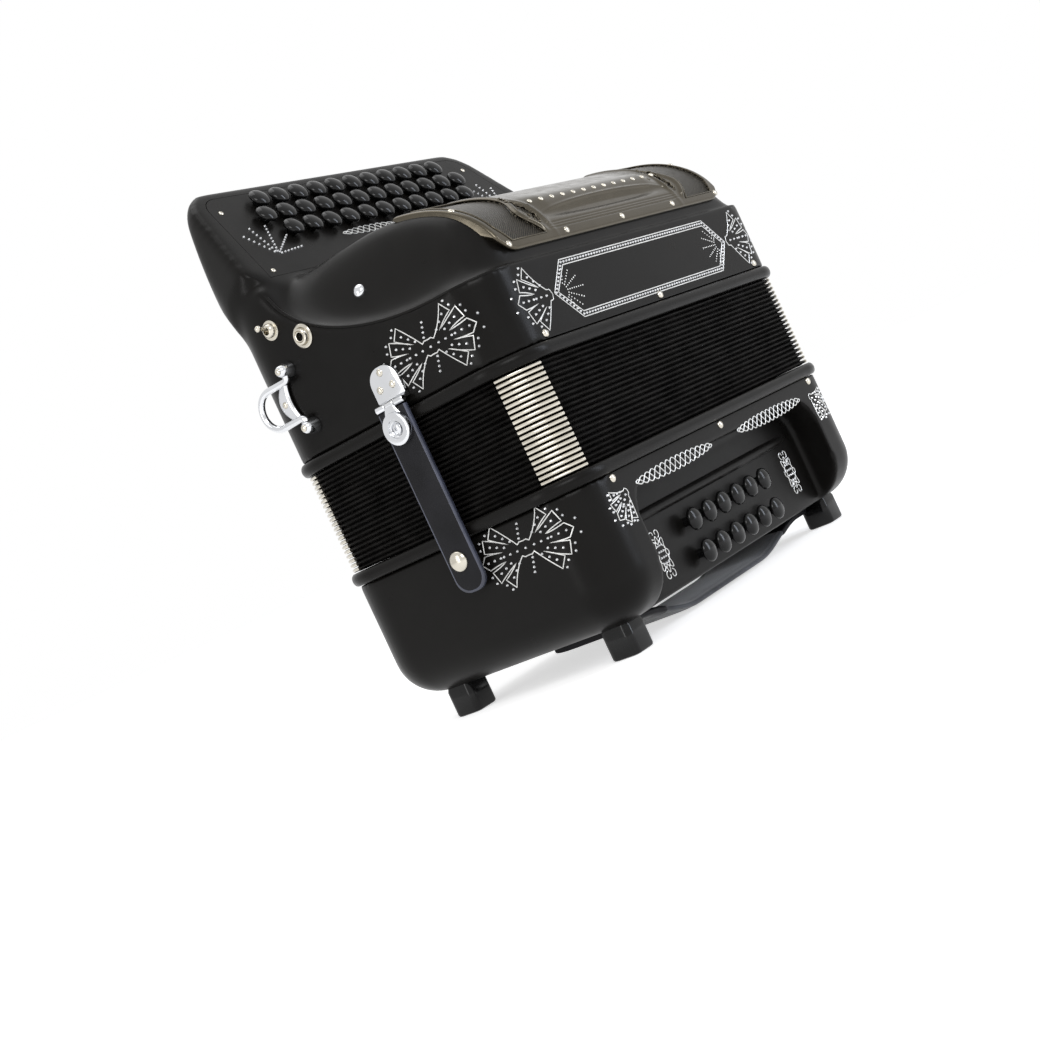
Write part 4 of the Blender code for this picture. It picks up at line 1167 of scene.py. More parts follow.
# ---------------------------------------------------------------- the bass end
def bass_case(shape):
    bm = bmesh.new()
    rings = []
    for step in range(13):
        turn = math.pi / 2 * step / 12
        inset = shape.bass_rounding * (1 - math.sin(turn))
        z = FOOT_HEIGHT + shape.bass_rounding * (1 - math.cos(turn))
        rings.append([bm.verts.new((p.x, p.y, z)) for p in case_outline(-inset)])
    rings.append([bm.verts.new((p.x, p.y, BASS_TOP)) for p in case_outline()])
    capped(bm, rings)
    recess = bmesh.new()
    half = RECESS_HALF_LENGTH
    outline = rounded([(-half, -0.1, 0), (half, -0.1, 0), (half, RECESS_TOP_Z, 22 * MM),
                       (-half, RECESS_TOP_Z, 22 * MM)])
    prism(recess, outline, -PANEL_Y, HALF_DEPTH + 20 * MM, Matrix.Rotation(math.pi / 2, 4, "X"))
    block = skinned(bm, "bass_block", "case")
    block = cut_mesh(block, recess, "bass_block")
    bm = bmesh.new()
    bm.from_mesh(block)
    bpy.data.meshes.remove(block)
    mesh = dressed(moulded(bm, "bass_case", shape.skin_detail, 4), "case")
    finished_piece("bass_case", mesh, "bass_side", "case", "bass_casing")


LEDGE_SECTION = ((0.5, -3.5), (-2.6, -2.6), (-3.4, -0.6), (-3.0, 1.4), (-1.2, 3.0), (0.5, 3.5))


def recess_ledge():
    """The raised ledge that runs along the recess above the buttons."""
    half = RECESS_HALF_LENGTH - 14 * MM
    z = BASS_ROW_Z + 16 * MM
    bm = bmesh.new()
    rings = []
    for x in steps_between(-half, half, 40):
        share = math.sqrt(max(1 - (x / half) ** 12, 0.02))
        section = [(out * share * MM, up * share * MM) for out, up in LEDGE_SECTION]
        rings.append([bm.verts.new((x, PANEL_Y + out, z + up)) for out, up in section])
    capped(bm, rings)
    mesh = skinned(bm, "recess_ledge", "case", sharp=60)
    finished_piece("recess_ledge", mesh, "bass_side", "case")


FOOT_SECTION = ((1.6, 0), (0.5, 0.5), (0, 1.6), (0, 16.5), (0.9, 19), (0.9, 24))


def bass_feet():
    """Four square feet, each carried up through (inset, z) steps given in millimetres."""
    bm = bmesh.new()
    for side_x in (-1, 1):
        for side_y in (-1, 1):
            at = Matrix.Translation((side_x * (HALF_LENGTH - 31 * MM), side_y * (HALF_DEPTH - 34 * MM), 0))
            rings = []
            for inset, z in FOOT_SECTION:
                outline = rounded([(x * (10 - inset) * MM, y * (10 - inset) * MM, (4 - inset * 0.6) * MM)
                                   for x, y in ((1, -1), (1, 1), (-1, 1), (-1, -1))], 6)
                rings.append([bm.verts.new(at @ Vector((p.x, p.y, z * MM))) for p in outline])
            capped(bm, rings)
    mesh = skinned(bm, "bass_feet", "gloss", sharp=40)
    finished_piece("bass_feet", mesh, "bass_side", "case")


HAND_STRAP_Y = -30 * MM
HAND_STRAP_HALF_WIDTH = 28.6 * MM
HAND_STRAP_HALF_THICKNESS = 2.35 * MM
HAND_STRAP_SEAM = 23 * MM
STRAP_END_LENGTH = 40 * MM


def strap_height(x, half_length):
    """The top of the hand strap, which bows down from its two ends."""
    share = 1 - smooth_step((abs(x) - 0.35 * half_length) / (0.55 * half_length))
    return FOOT_HEIGHT - 0.3 * MM - 11.5 * MM * share


def hand_strap():
    """A padded band bowed down under the bass end, with a seam line along each edge."""
    half_length = HALF_LENGTH - 31 * MM - 13 * MM
    bm = bmesh.new()
    rings = []
    for x in steps_between(-half_length, half_length, 80):
        taper = math.sqrt(max(1 - (abs(x) / half_length) ** 16, 0.05))
        top = strap_height(x, half_length)
        ring = []
        for turn in full_turn(36):
            across = squared(math.cos(turn), 0.45) * HAND_STRAP_HALF_WIDTH
            swell = squared(math.sin(turn), 0.6) * HAND_STRAP_HALF_THICKNESS
            swell -= 0.5 * MM * bell((abs(across) - HAND_STRAP_SEAM) / (1.2 * MM)) * math.copysign(1, swell)
            ring.append(bm.verts.new((x, HAND_STRAP_Y + across * taper, top - 2.5 * MM + swell)))
        rings.append(ring)
    capped(bm, rings)
    mesh = skinned(bm, "hand_strap_pad", "velvet", sharp=70)
    obj = finished_piece("hand_strap_pad", mesh, "bass_side", "velvet", "hand_strap")
    for name, side in (("hand_strap_end_left", -1), ("hand_strap_end_right", 1)):
        hand_strap_end(name, side, half_length)


def hand_strap_end(name, side, half_length):
    """The leather sleeve round one end of the hand strap."""
    bm = bmesh.new()
    rings = []
    start, end = half_length - STRAP_END_LENGTH, half_length + 0.6 * MM
    for x in steps_between(start, end, 24):
        edge = min((x - start) / (1.2 * MM), (end - x) / (1.2 * MM), 1)
        grow = 0.35 * MM + 0.35 * MM * math.sqrt(max(1 - (1 - max(edge, 0)) ** 2, 0))
        top = strap_height(x, half_length)
        ring = []
        for turn in full_turn(36):
            across = squared(math.cos(turn), 0.35) * (HAND_STRAP_HALF_WIDTH + grow)
            swell = squared(math.sin(turn), 0.5) * (2.2 * MM + grow)
            ring.append(bm.verts.new((side * x, HAND_STRAP_Y + across, top - 2.5 * MM + swell)))
        rings.append(ring)
    capped(bm, rings)
    mesh = skinned(bm, name, "leather", sharp=60)
    finished_piece(name, mesh, "bass_side", "leather")


# ---------------------------------------------------------------- metalwork and strap on the end
def crescent(step_count=24):
    """Rows of (outer, inner) points of the bracket's crescent in Y and Z."""
    for share in steps_between(-1, 1, step_count):
        z = BRACKET_Z + share * BRACKET_SPAN / 2
        bow = 1 - share * share
        yield (BRACKET_Y + 17 * MM * bow, z), (BRACKET_Y + 7 * MM * bow, z)


# Turned fittings, as (radius, height) in millimetres.
BOSS_PROFILE = ((0, 0), (5, 0), (5, 1.5), (4.4, 4.6), (3.7, 7.4), (2.6, 9.2), (1.2, 9.9), (0, 10))
RING_PROFILE = ((0, 0.6), (3.9, 0.6), (3.9, 2.0), (4.4, 2.5), (5.3, 2.5), (5.6, 3.2), (8.6, 3.5), (9.4, 3.1),
                (9.7, 2.3), (9.7, 0.2), (9.5, 0), (0, 0))
RING_STUD_PROFILE = ((0, 1.9), (0.9, 2.0), (1.1, 2.9), (2.2, 2.8), (3.0, 2.1), (3.2, 0.6), (0, 0.5))
LEVER_PROFILE = ((0, 12), (1.2, 11.7), (2.0, 10.6), (1.9, 9.2), (1.3, 7.9), (1.1, 5.5), (1.4, 2.6),
                 (2.4, 1.2), (2.6, 0), (0, -2))
COLLAR_PROFILE = ((0, -1), (6.0, -1), (6.0, 0.9), (4.4, 1.1), (4.2, 3.0), (3.0, 4.2), (2.3, 4.4), (2.25, 1.2),
                  (0, 1.1))
JACK_PROFILE = ((0, -1), (7.2, -1), (7.2, 0.8), (6.6, 1.3), (5.4, 1.4), (5.2, 1.0), (4.9, 1.4), (4.7, 3.2),
                (3.6, 3.6), (3.3, 3.0), (3.1, 3.5), (2.6, 3.4), (2.4, -0.5), (0, -0.6))
HINGE_SCREWS = ((0.5, 19), (-4.6, 10), (5.6, 10))
SEAT_X = END_X - 0.3 * MM
OUTWARDS = (-1, 0, 0)
STRAP_HALF_WIDTH = 11 * MM


def strap_bracket():
    """The crescent with its two bosses, and its three screws."""
    bm = bmesh.new()
    rings = []
    for (outer, z), (inner, _) in crescent():
        middle, half = (outer + inner) / 2, max((outer - inner) / 2, 1.2 * MM)
        ring = []
        for turn in full_turn(20):
            y = middle + half * squared(math.cos(turn), 0.6)
            x = SEAT_X - 1.6 * MM - 1.6 * MM * squared(math.sin(turn), 0.8)
            ring.append(bm.verts.new((x, y, z)))
        rings.append(ring)
    capped(bm, rings)
    tips = [BRACKET_Z + side * BRACKET_SPAN / 2 for side in (-1, 1)]
    for z in tips:
        turned(bm, in_mm(BOSS_PROFILE), facing(Vector((SEAT_X, BRACKET_Y, z)), OUTWARDS))
    mesh = skinned(bm, "loop_bracket", "chrome", sharp=45)
    finished_piece("loop_bracket", mesh, "treble_side", "metal", "strap_bracket")
    places = [(Vector((SEAT_X - 3.1 * MM, BRACKET_Y + 12 * MM, BRACKET_Z)), OUTWARDS)]
    places += [(Vector((SEAT_X - 9.7 * MM, BRACKET_Y, z)), OUTWARDS) for z in tips]
    mesh = dotted("bracket_screws", places, dome_tree(), 2.1 * MM, 1.0 * MM, "nickel")
    finished_piece("bracket_screws", mesh, "treble_side", "metal")


def strap_loop():
    """The round wire loop: from one boss round a half turn to the other."""
    arm = 11.85 * MM
    points = [(0, BRACKET_SPAN / 2 - 1 * MM)]
    points += [(0, arm + 3 * MM), (0.3 * MM, arm + 1.2 * MM), (1.2 * MM, arm + 0.3 * MM), (3 * MM, arm)]
    for step in range(25):
        turn = math.pi / 2 - math.pi * step / 24
        points.append((30 * MM - arm + arm * math.cos(turn), arm * math.sin(turn)))
    points += [(y, -z) for y, z in reversed(points[:5])]
    path = [Vector((LOOP_X, BRACKET_Y + y, BRACKET_Z + z)) for y, z in points]
    mesh = wires("loop_wire", [path], 2.15 * MM, "chrome", sides=5)
    finished_piece("loop_wire", mesh, "strap_loop", "metal", "strap_loop")


def rounded_plate(bm, outline, near, thickness, edge=0.5 * MM):
    """Adds a plate standing on the end face, its outer edge rounded. The outline is in Y and Z."""
    middle = sum((Vector(p) for p in outline), Vector((0, 0))) / len(outline)
    steps = ((0, 0), (0, thickness - edge), (0.3 * edge, thickness - 0.3 * edge), (edge, thickness))
    rings = []
    for inset, out in steps:
        rings.append([bm.verts.new((near - out, *(p + (middle - p).normalized() * inset))) for p in outline])
    capped(bm, rings)


def knuckle(bm, start, end, radius):
    """Adds a barrel of the hinge that runs along Y from start to end, its rims bevelled."""
    rim, edge = 1.7 * MM, 0.5 * MM
    length = end - start
    profile = [(0, 0), (rim, 0), (radius, edge), (radius, length - edge), (rim, length), (0, length)]
    turned(bm, profile, facing(Vector((HINGE_X, start, HINGE_Z)), (0, 1, 0)), 20)


def strap_hinge():
    """The leaf screwed to the treble end, with the two outer knuckles and the webs that carry them."""
    low, high = HINGE_Z + 2.5 * MM, HINGE_Z + 22.5 * MM
    left, right = STRAP_Y - STRAP_HALF_WIDTH, STRAP_Y + STRAP_HALF_WIDTH
    bm = bmesh.new()
    outline = rounded([(left, low, 0.8 * MM), (right, low, 0.8 * MM), (right, high, 9.9 * MM),
                       (left, high, 9.9 * MM)])
    rounded_plate(bm, outline, SEAT_X, 2.6 * MM)
    web = ((HINGE_X - 1 * MM, HINGE_Z), (SEAT_X, HINGE_Z + 0.6 * MM), (SEAT_X, low + 2 * MM),
           (SEAT_X - 2.3 * MM, low + 1 * MM))
    for side in (-1, 1):
        start, end = sorted((STRAP_Y + side * STRAP_HALF_WIDTH / 3, STRAP_Y + side * STRAP_HALF_WIDTH))
        knuckle(bm, start, end, 2.2 * MM)
        capped(bm, [[bm.verts.new((x, y, z)) for x, z in web] for y in (start, end)])
    mesh = skinned(bm, "strap_hinge_plate", "chrome", sharp=40)
    finished_piece("strap_hinge_plate", mesh, "treble_side", "metal", "bellows_strap_plate")
    heads = [Vector((SEAT_X - 2.5 * MM, STRAP_Y + y, HINGE_Z + z)) for y, z in in_mm(HINGE_SCREWS)]
    places = [(head, OUTWARDS) for head in heads]
    mesh = dotted("hinge_screws", places, dome_tree(), 2.3 * MM, 1.2 * MM, "nickel")
    finished_piece("hinge_screws", mesh, "treble_side", "metal")


def strap_outline(grow, low, top):
    half = STRAP_HALF_WIDTH + grow
    return rounded([(-half, low - grow, 8.8 * MM), (half, low - grow, 8.8 * MM), (half, top, 0.5 * MM),
                    (-half, top, 0.5 * MM)], 12)


def strap_leather():
    """The leather strap, with edge paint and a painted bluish highlight on its cut edge."""
    low, top = node_box("bellows_strap")[0].z - HINGE_Z, -2.8 * MM
    at = Matrix.Translation((HINGE_X, STRAP_Y, HINGE_Z)) @ ALONG_X
    bm = bmesh.new()
    rings = []
    for inset, x in in_mm(((0.7, 1.5), (0, 1.0), (0, -0.9), (0.35, -1.3), (1.3, -1.5))):
        rings.append([bm.verts.new(at @ Vector((p.x, p.y, x))) for p in strap_outline(-inset, low, top)])
    capped(bm, rings)
    # the cut edge's faces take the strap_edge finish, which carries a painted highlight
    for face in bm.faces:
        depth = abs(face.calc_center_median().x - HINGE_X)
        face.material_index = int(depth < 1.45 * MM and len(face.verts) == 4)
    mesh = skinned(bm, "strap_leather", "leather", "strap_edge", sharp=60)
    finished_piece("strap_leather", mesh, "bellows_strap", "leather", "bellows_strap")


def strap_ring():
    """The leaf riveted to the strap, with the middle knuckle and the thick ring round its own small stud."""
    ring_z, out = HINGE_Z - 14 * MM, HINGE_X - 1.5 * MM
    leaf_low, leaf_high = 9.8 * MM, 3.3 * MM
    bm = bmesh.new()
    at = facing(Vector((out, STRAP_Y, ring_z)), OUTWARDS)
    turned(bm, in_mm(RING_PROFILE), at, 56)
    turned(bm, in_mm(RING_STUD_PROFILE), at, 32)
    knuckle(bm, STRAP_Y - leaf_high, STRAP_Y + leaf_high, 2.15 * MM)
    leaf_top = HINGE_Z - 0.5 * MM
    leaf = rounded([(STRAP_Y - leaf_low, ring_z, 2 * MM), (STRAP_Y + leaf_low, ring_z, 2 * MM),
                    (STRAP_Y + leaf_high, leaf_top, 0), (STRAP_Y - leaf_high, leaf_top, 0)], 6)
    rounded_plate(bm, leaf, out + 0.2 * MM, 1.0 * MM, 0.3 * MM)
    mesh = skinned(bm, "strap_ring_and_leaf", "chrome", sharp=40)
    finished_piece("strap_ring_and_leaf", mesh, "bellows_strap", "metal")


def strap_stud():
    """The snap stud that holds the strap's free end on the bass end."""
    bm = bmesh.new()
    at = facing(Vector((HINGE_X - 1.4 * MM, STRAP_Y + 1.5 * MM, BASS_TOP - 9.5 * MM)), OUTWARDS)
    profile = dome_profile(6.2 * MM, 3.0 * MM, 0.4 * MM)
    turned(bm, profile + [(5.6 * MM, 0), (0, 0)], at, 40)
    mesh = skinned(bm, "strap_stud", "nickel", sharp=60)
    finished_piece("strap_stud", mesh, "bellows_strap", "metal")


def end_fitting(name, profile, at, steps, sharp, body="treble_side", *stands_for):
    """A turned nickel fitting on the end face."""
    bm = bmesh.new()
    turned(bm, in_mm(profile), at, steps)
    finished_piece(name, skinned(bm, name, "nickel", sharp=sharp), body, "metal", *stands_for)


def switch_and_jack():
    lean = math.radians(16)
    switch = Vector((END_X, BRACKET_Y, SWITCH_Z))
    jack = Vector((END_X, 34.9 * MM, TREBLE_Z + 65.4 * MM))
    lever = Matrix.Translation(switch) @ Matrix.Rotation(lean - math.pi / 2, 4, "Y")
    end_fitting("switch_lever", LEVER_PROFILE, lever, 24, 60, "toggle_switch", "toggle_switch")
    end_fitting("switch_collar", COLLAR_PROFILE, facing(switch, OUTWARDS), 32, 40)
    end_fitting("output_jack", JACK_PROFILE, facing(jack, OUTWARDS), 40, 35)


def shoulder_screws():
    """A large dome screw on each shoulder, square to the surface there."""
    x, y, radius = 148 * MM, -4 * MM, 4.3 * MM
    near = ((1 * MM, 0), (-1 * MM, 0), (0, 1 * MM), (0, -1 * MM))
    rise = [top_height(x + along, y + across) for along, across in near]
    bm = bmesh.new()
    for side in (-1, 1):
        normal = Vector((-side * (rise[0] - rise[1]), -(rise[2] - rise[3]), 2 * MM)).normalized()
        at = facing(Vector((side * x, y, TREBLE_Z + top_height(x, y))) - normal * 0.4 * MM, normal)
        profile = dome_profile(radius, 3.0 * MM, 0.6 * MM)
        turned(bm, profile + [(radius, 0), (0, 0)], at, 36)
    mesh = skinned(bm, "shoulder_screws", "chrome", sharp=60)
    finished_piece("shoulder_screws", mesh, "treble_side", "metal")


# ---------------------------------------------------------------- ornament
# Motifs are drawn in millimetres round their middle. Feathers are (angle in degrees, reach).
FEATHERS = ((38, 25.5), (19, 29.5), (0, 34), (-19, 29.5), (-38, 25.5))


def bent(start, end, bow):
    """Points from start to just before end, bowed to one side."""
    across = Vector((start.y - end.y, end.x - start.x)).normalized() * bow
    return [start.lerp(end, k / 6) + across * (4 * k / 6 * (1 - k / 6)) for k in range(6)]


def wing(size):
    """(outline, stones) of five square-ended feathers that spread from the origin along +X."""
    corners, stones = [(Vector((4.5, 3.4)), -1.2)], []
    for index, (angle, reach) in enumerate(FEATHERS):
        turn = Matrix.Rotation(math.radians(angle), 2)
        half = 4.3 if angle == 0 else 3.9
        bow = -0.3 if angle > 0 else 0.3
        corners.append((turn @ Vector((reach - (4 if angle == 0 else 0), half)), 0))
        if angle == 0:
            corners.append((Vector((reach, 0)), 0))
        corners.append((turn @ Vector((reach - (4 if angle == 0 else 0), -half)), bow))
        if index < 4:
            notch = Matrix.Rotation(math.radians(angle - 9.5), 2) @ Vector((17 if index in (1, 2) else 12, 0))
            corners.append((notch, bow))
        stones += [turn @ Vector((reach - back, 0)) for back in (4.5, 9.5, 14.5)]
        stones += [turn @ Vector((reach + 2.6, side * (2.2 if angle else 4.2))) for side in (-1, 1)]
    corners.append((Vector((4.5, -3.4)), 0))
    outline = []
    for (start, bow), (end, _) in zip(corners, corners[1:]):
        outline += bent(start, end, bow)
    outline.append(corners[-1][0])
    stones += [Vector((x, 0)) for x in (6.5, 12, 17)]
    return [p * size * MM for p in outline], [p * size * MM for p in stones]


def waist(size):
    """(outline, stones) between two wings: a small bulge over a line of stones that runs across."""
    bulge = [Vector(p) for p in ((4.5, 3.4), (2.6, 4.6), (0.9, 4.4), (-0.9, 4.4), (-2.6, 4.6), (-4.5, 3.4))]
    stones = []
    for side in (-1, 1):
        stones += [Vector((side * 1.1 * (k - 2.2), side * (4.6 + 3 * k))) for k in (0.6, 1.5, 2.4, 3.3)]
    stones.append(Vector((0, 0)))
    return [p * size * MM for p in bulge], [p * size * MM for p in stones]


def turned_motif(part, angle):
    turn = Matrix.Rotation(angle, 2)
    outline, stones = part
    return [turn @ p for p in outline], [turn @ p for p in stones]


class Ornament:
    """The silver lines and the set stones of one end, as they gather."""

    def __init__(self):
        self.lines = []
        self.stones = []

    def add(self, place, motif):
        """Carries a motif's outlines and stones from its plane onto a surface by place."""
        for outline, dots in motif:
            if outline:
                self.lines.append([place(p)[0] for p in outline])
            self.stones += [place(p) for p in dots]

    def finish(self, end, body, shape):
        name = end + "_line_ornament"
        mesh = wires(name, self.lines, shape.line_radius, "silver", sides=1)
        finished_piece(name, mesh, body, "metal")
        name = end + "_stones"
        mesh = dotted(name, self.stones, stone_tree(), shape.stone_radius, 0.75 * MM, "stone")
        finished_piece(name, mesh, body, "metal")


def wall_place(length, z, mirror=1):
    """A function that carries a motif's points to the case's wall."""
    return lambda p: on_wall(length + mirror * p.x, z + p.y)


def keyboard_place(x, s, mirror=1):
    """A function that carries a motif's points to the keyboard's plane."""
    return lambda p: on_keyboard(x + mirror * p.x, s + p.y)


def panel_place(x, z):
    """A function that carries a motif's points to the panel behind the bass buttons."""
    return lambda p: (Vector((x + p.x, PANEL_Y, z + p.y)), Vector((0, -1, 0)))


def bow_motif(size):
    """Two wings back to back."""
    under = waist(size)
    return [wing(size), turned_motif(wing(size), math.pi), under, ([-p for p in under[0]], [])]


def fan_motif(size, direction):
    """One wing, closed by a bulge at its root."""
    closing = [Vector(p) * size * MM for p in ((4.5, 3.4), (1.5, 3.0), (0.2, 0), (1.5, -3.0), (4.5, -3.4))]
    return [turned_motif(wing(size), direction), turned_motif((closing, []), direction)]


def ray_motif(direction, spread, count, start, end, pitch):
    """Dotted rays that fan out from a point, the outer ones shorter."""
    dots = []
    for index in range(count):
        aside = index / (count - 1) * 2 - 1
        angle = direction + spread * aside
        ahead = Vector((math.cos(angle), math.sin(angle)))
        reach = start
        while reach < end * (1 - 0.25 * abs(aside)):
            dots.append(ahead * reach)
            reach += pitch
    return [([], dots)]


def hexagon(half_x, tip_x, half_z):
    return [Vector((-tip_x, 0)), Vector((-half_x, half_z)), Vector((half_x, half_z)), Vector((tip_x, 0)),
            Vector((half_x, -half_z)), Vector((-half_x, -half_z))]


def along_path(points, pitch):
    """Points at an even pitch along a closed path."""
    dots = []
    for here, after in zip(points, points[1:] + points[:1]):
        count = max(round((after - here).length / pitch), 1)
        dots += [here.lerp(after, k / count) for k in range(count)]
    return dots


def rope_lines(place, half, height, waves):
    """Three strands that cross and recross, narrowing to both ends."""
    lines = []
    for phase in (0, 2 * math.pi / 3, 4 * math.pi / 3):
        path = []
        for x in steps_between(-half, half, 90):
            fade = math.sqrt(max(1 - (x / half) ** 2, 0))
            path.append(place(Vector((x, height * fade * math.sin(phase + waves * math.pi * x / half))))[0])
        lines.append(path)
    return lines


def knot_lines(place, half_x, half_z):
    """A cross-shaped medallion: a lobed ring, a smaller one inside it, and a curl at each end."""
    rings = []
    for size, depth, phase in ((1.0, 0.17, 0), (0.74, 0.12, math.pi)):
        path = []
        for step in range(121):
            turn = 2 * math.pi * step / 120
            square = (abs(math.cos(turn)) ** 3 + abs(math.sin(turn)) ** 3) ** (-1 / 3)
            reach = size * square * (1 - depth + depth * math.cos(8 * turn + phase)) * 0.86
            path.append(place(Vector((half_x * reach * math.cos(turn), half_z * reach * math.sin(turn))))[0])
        rings.append(path)
    for side_x in (-1, 1):
        for side_z in (-1, 1):
            path = []
            for step in range(25):
                turn = math.pi * 1.6 * step / 24
                size = half_x * (0.34 - 0.2 * step / 24)
                x, z = half_x * 0.3 + size * math.sin(turn), half_z * 0.98 - size * math.cos(turn)
                path.append(place(Vector((side_x * x, side_z * z)))[0])
            rings.append(path)
    return rings


def treble_ornament(shape):
    """The hexagon between two fans, the bow on the left end, and the keyboard plate's rays and scrolls."""
    ornament = Ornament()
    middle_z = TREBLE_Z + 23.1 * MM
    for half_x, tip_x, half_z in ((87, 105, 17.75), (85.3, 101, 14.4)):
        outline = along_path(hexagon(half_x * MM, tip_x * MM, half_z * MM), 4 * MM)
        ornament.lines.append([on_wall(p.x, middle_z + p.y)[0] for p in outline + outline[:1]])
    border = along_path(hexagon(86.2 * MM, 103 * MM, 16.1 * MM), 3.1 * MM)
    ornament.add(wall_place(0, middle_z), [([], border)])
    rays = Ornament()
    for side in (-1, 1):
        ornament.add(wall_place(side * 107 * MM, middle_z, side), fan_motif(1.0, 0))
        inward_rays = ray_motif(math.pi, math.radians(60), 7, 5 * MM, 22 * MM, 2.3 * MM)
        rays.add(wall_place(side * 96 * MM, middle_z, side), inward_rays)
    ornament.add(wall_place(end_length(-47 * MM), TREBLE_Z + 23.5 * MM), bow_motif(0.98))
    for side in (-1, 1):
        plate_rays = ray_motif(math.radians(62), math.radians(56), 5, 3 * MM, 32 * MM, 3.4 * MM)
        ornament.add(keyboard_place(side * 122 * MM, -33 * MM, -side), plate_rays)
        ornament.lines += rope_lines(keyboard_place(side * 27 * MM, -27 * MM), 27 * MM, 3.2 * MM, 3)
    ornament.finish("treble", "treble_side", shape)
    mesh = dotted("treble_dotted_rays", rays.stones, dome_tree(), 0.48 * MM, 0.35 * MM, "silver")
    finished_piece("treble_dotted_rays", mesh, "treble_side", "metal")


def bass_ornament(shape):
    """The bow on the left end, a fan at each front corner, two rope scrolls and two medallions."""
    ornament = Ornament()
    top = BASS_TOP + 8.3 * MM
    ornament.add(wall_place(end_length(-48 * MM), top - 26 * MM), bow_motif(0.98))
    for side in (-1, 1):
        ornament.add(wall_place(side * 122 * MM, top - 20 * MM, side), fan_motif(0.66, math.radians(-38)))
    for middle in (-65 * MM, 62 * MM):
        ornament.lines += rope_lines(wall_place(middle, top - 19.6 * MM), 46 * MM, 4 * MM, 5)
    dots = [Vector((x * MM, z * MM)) for x in (-2.6, 0, 2.6) for z in (-5.4, -1.8, 1.8, 5.4)]
    for x, z in in_mm(((-84, -64.5), (95, -61))):
        ornament.lines += knot_lines(panel_place(x, top + z), 8.5 * MM, 13 * MM)
        ornament.add(panel_place(x, top + z), [([], dots)])
    ornament.finish("bass", "bass_side", shape)


# ---------------------------------------------------------------- the stage
CAMERA_LENS = 56.66
CAMERA_FROM = Vector((-0.87311, -0.60380, 0.11131))
CAMERA_AHEAD = Vector((0.78910, 0.61400, -0.01788))
CAMERA_ROLL = math.radians(24.916)
LIT_POINT = Vector((0, 0, 0.2))


def camera_view():
    """A level camera in front of the left end, rolled so that the instrument leans back in the picture."""
    camera = bpy.data.cameras.new("studio_camera")
    camera.lens = CAMERA_LENS
    camera.sensor_width = 36
    camera.clip_start = 0.05
    obj = helper("studio_camera", camera)
    ahead = CAMERA_AHEAD.normalized()
    level = ahead.cross(Vector((0, 0, 1))).normalized()
    upright = level.cross(ahead)
    up = math.cos(CAMERA_ROLL) * upright + math.sin(CAMERA_ROLL) * level
    right = math.cos(CAMERA_ROLL) * level - math.sin(CAMERA_ROLL) * upright
    turn = Matrix((right, up, -ahead)).transposed().to_4x4()
    obj.matrix_world = Matrix.Translation(CENTRE + CAMERA_FROM) @ turn
    bpy.context.scene.camera = obj


def soft_light(name, location, size, power, colour=(1, 1, 1)):
    """A rectangular lamp turned towards the middle of the instrument."""
    light = bpy.data.lights.new(name, "AREA")
    light.shape = "RECTANGLE"
    light.size, light.size_y = size
    light.energy = power
    light.color = colour
    obj = helper(name, light)
    obj.location = location
    obj.rotation_euler = (LIT_POINT - Vector(location)).to_track_quat("-Z", "Y").to_euler()


def seen_strength(nodes, links, hidden, seen):
    """A strength for what the camera, metal and glass see, and another for what lights the scene."""
    path = nodes.new("ShaderNodeLightPath")
    value = path.outputs["Is Camera Ray"]
    for name in ("Is Glossy Ray", "Is Transmission Ray"):
        either = nodes.new("ShaderNodeMath")
        either.operation = "MAXIMUM"
        links.new(value, either.inputs[0])
        links.new(path.outputs[name], either.inputs[1])
        value = either.outputs[0]
    level = nodes.new("ShaderNodeMapRange")
    level.inputs["To Min"].default_value = hidden
    level.inputs["To Max"].default_value = seen
    links.new(value, level.inputs["Value"])
    return level.outputs["Result"]


def pale_world():
    world = bpy.data.worlds.new("studio")
    bpy.context.scene.world = world
    world.use_nodes = True
    nodes, links = world.node_tree.nodes, world.node_tree.links
    nodes["Background"].inputs["Color"].default_value = (1, 1, 1, 1)
    links.new(seen_strength(nodes, links, 0.4, 1.0), nodes["Background"].inputs["Strength"])


def pale_floor():
    bm = bmesh.new()
    bmesh.ops.create_grid(bm, x_segments=2, y_segments=2, size=14)
    mesh = bpy.data.meshes.new("floor")
    bm.to_mesh(mesh)
    bm.free()
    floor = helper("floor", mesh)
    material = bpy.data.materials.new("pale_floor")
    material.use_nodes = True
    nodes, links = material.node_tree.nodes, material.node_tree.links
    shader = nodes["Principled BSDF"]
    shader.inputs["Base Color"].default_value = (0.86, 0.86, 0.86, 1)
    shader.inputs["Roughness"].default_value = 0.9
    shader.inputs["Emission Color"].default_value = (1, 1, 1, 1)
    links.new(seen_strength(nodes, links, 0, 0.62), shader.inputs["Emission Strength"])
    mesh.materials.append(material)
    floor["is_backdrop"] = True


# ---------------------------------------------------------------- operators and panel
class ACCORDION_OT_stage(bpy.types.Operator):
    """Make the camera, floor, surround and lights"""

    bl_idname = "accordion.stage"
    bl_label = "Stage"

    def execute(self, context):
        context.scene.view_settings.view_transform = "Standard"
        camera_view()
        pale_world()
        pale_floor()
        soft_light("key_softbox", (-1.5, -1.6, 1.5), (1.2, 0.9), 21)
        soft_light("right_strip", (0.9, -1.7, 0.7), (0.35, 1.6), 16, (0.82, 0.88, 1.0))
        soft_light("left_strip", (-1.9, 0.5, 0.5), (0.4, 1.4), 8)
        soft_light("top_softbox", (0.1, 0.3, 1.9), (1.3, 1.3), 9)
        return {"FINISHED"}


class ACCORDION_OT_treble_case(bpy.types.Operator):
    """Make the treble end's shell and its lip line"""

    bl_idname = "accordion.treble_case"
    bl_label = "Treble case"

    def execute(self, context):
        shape = context.scene.accordion_shape
        treble_case(shape)
        treble_lip_line(shape)
        return {"FINISHED"}


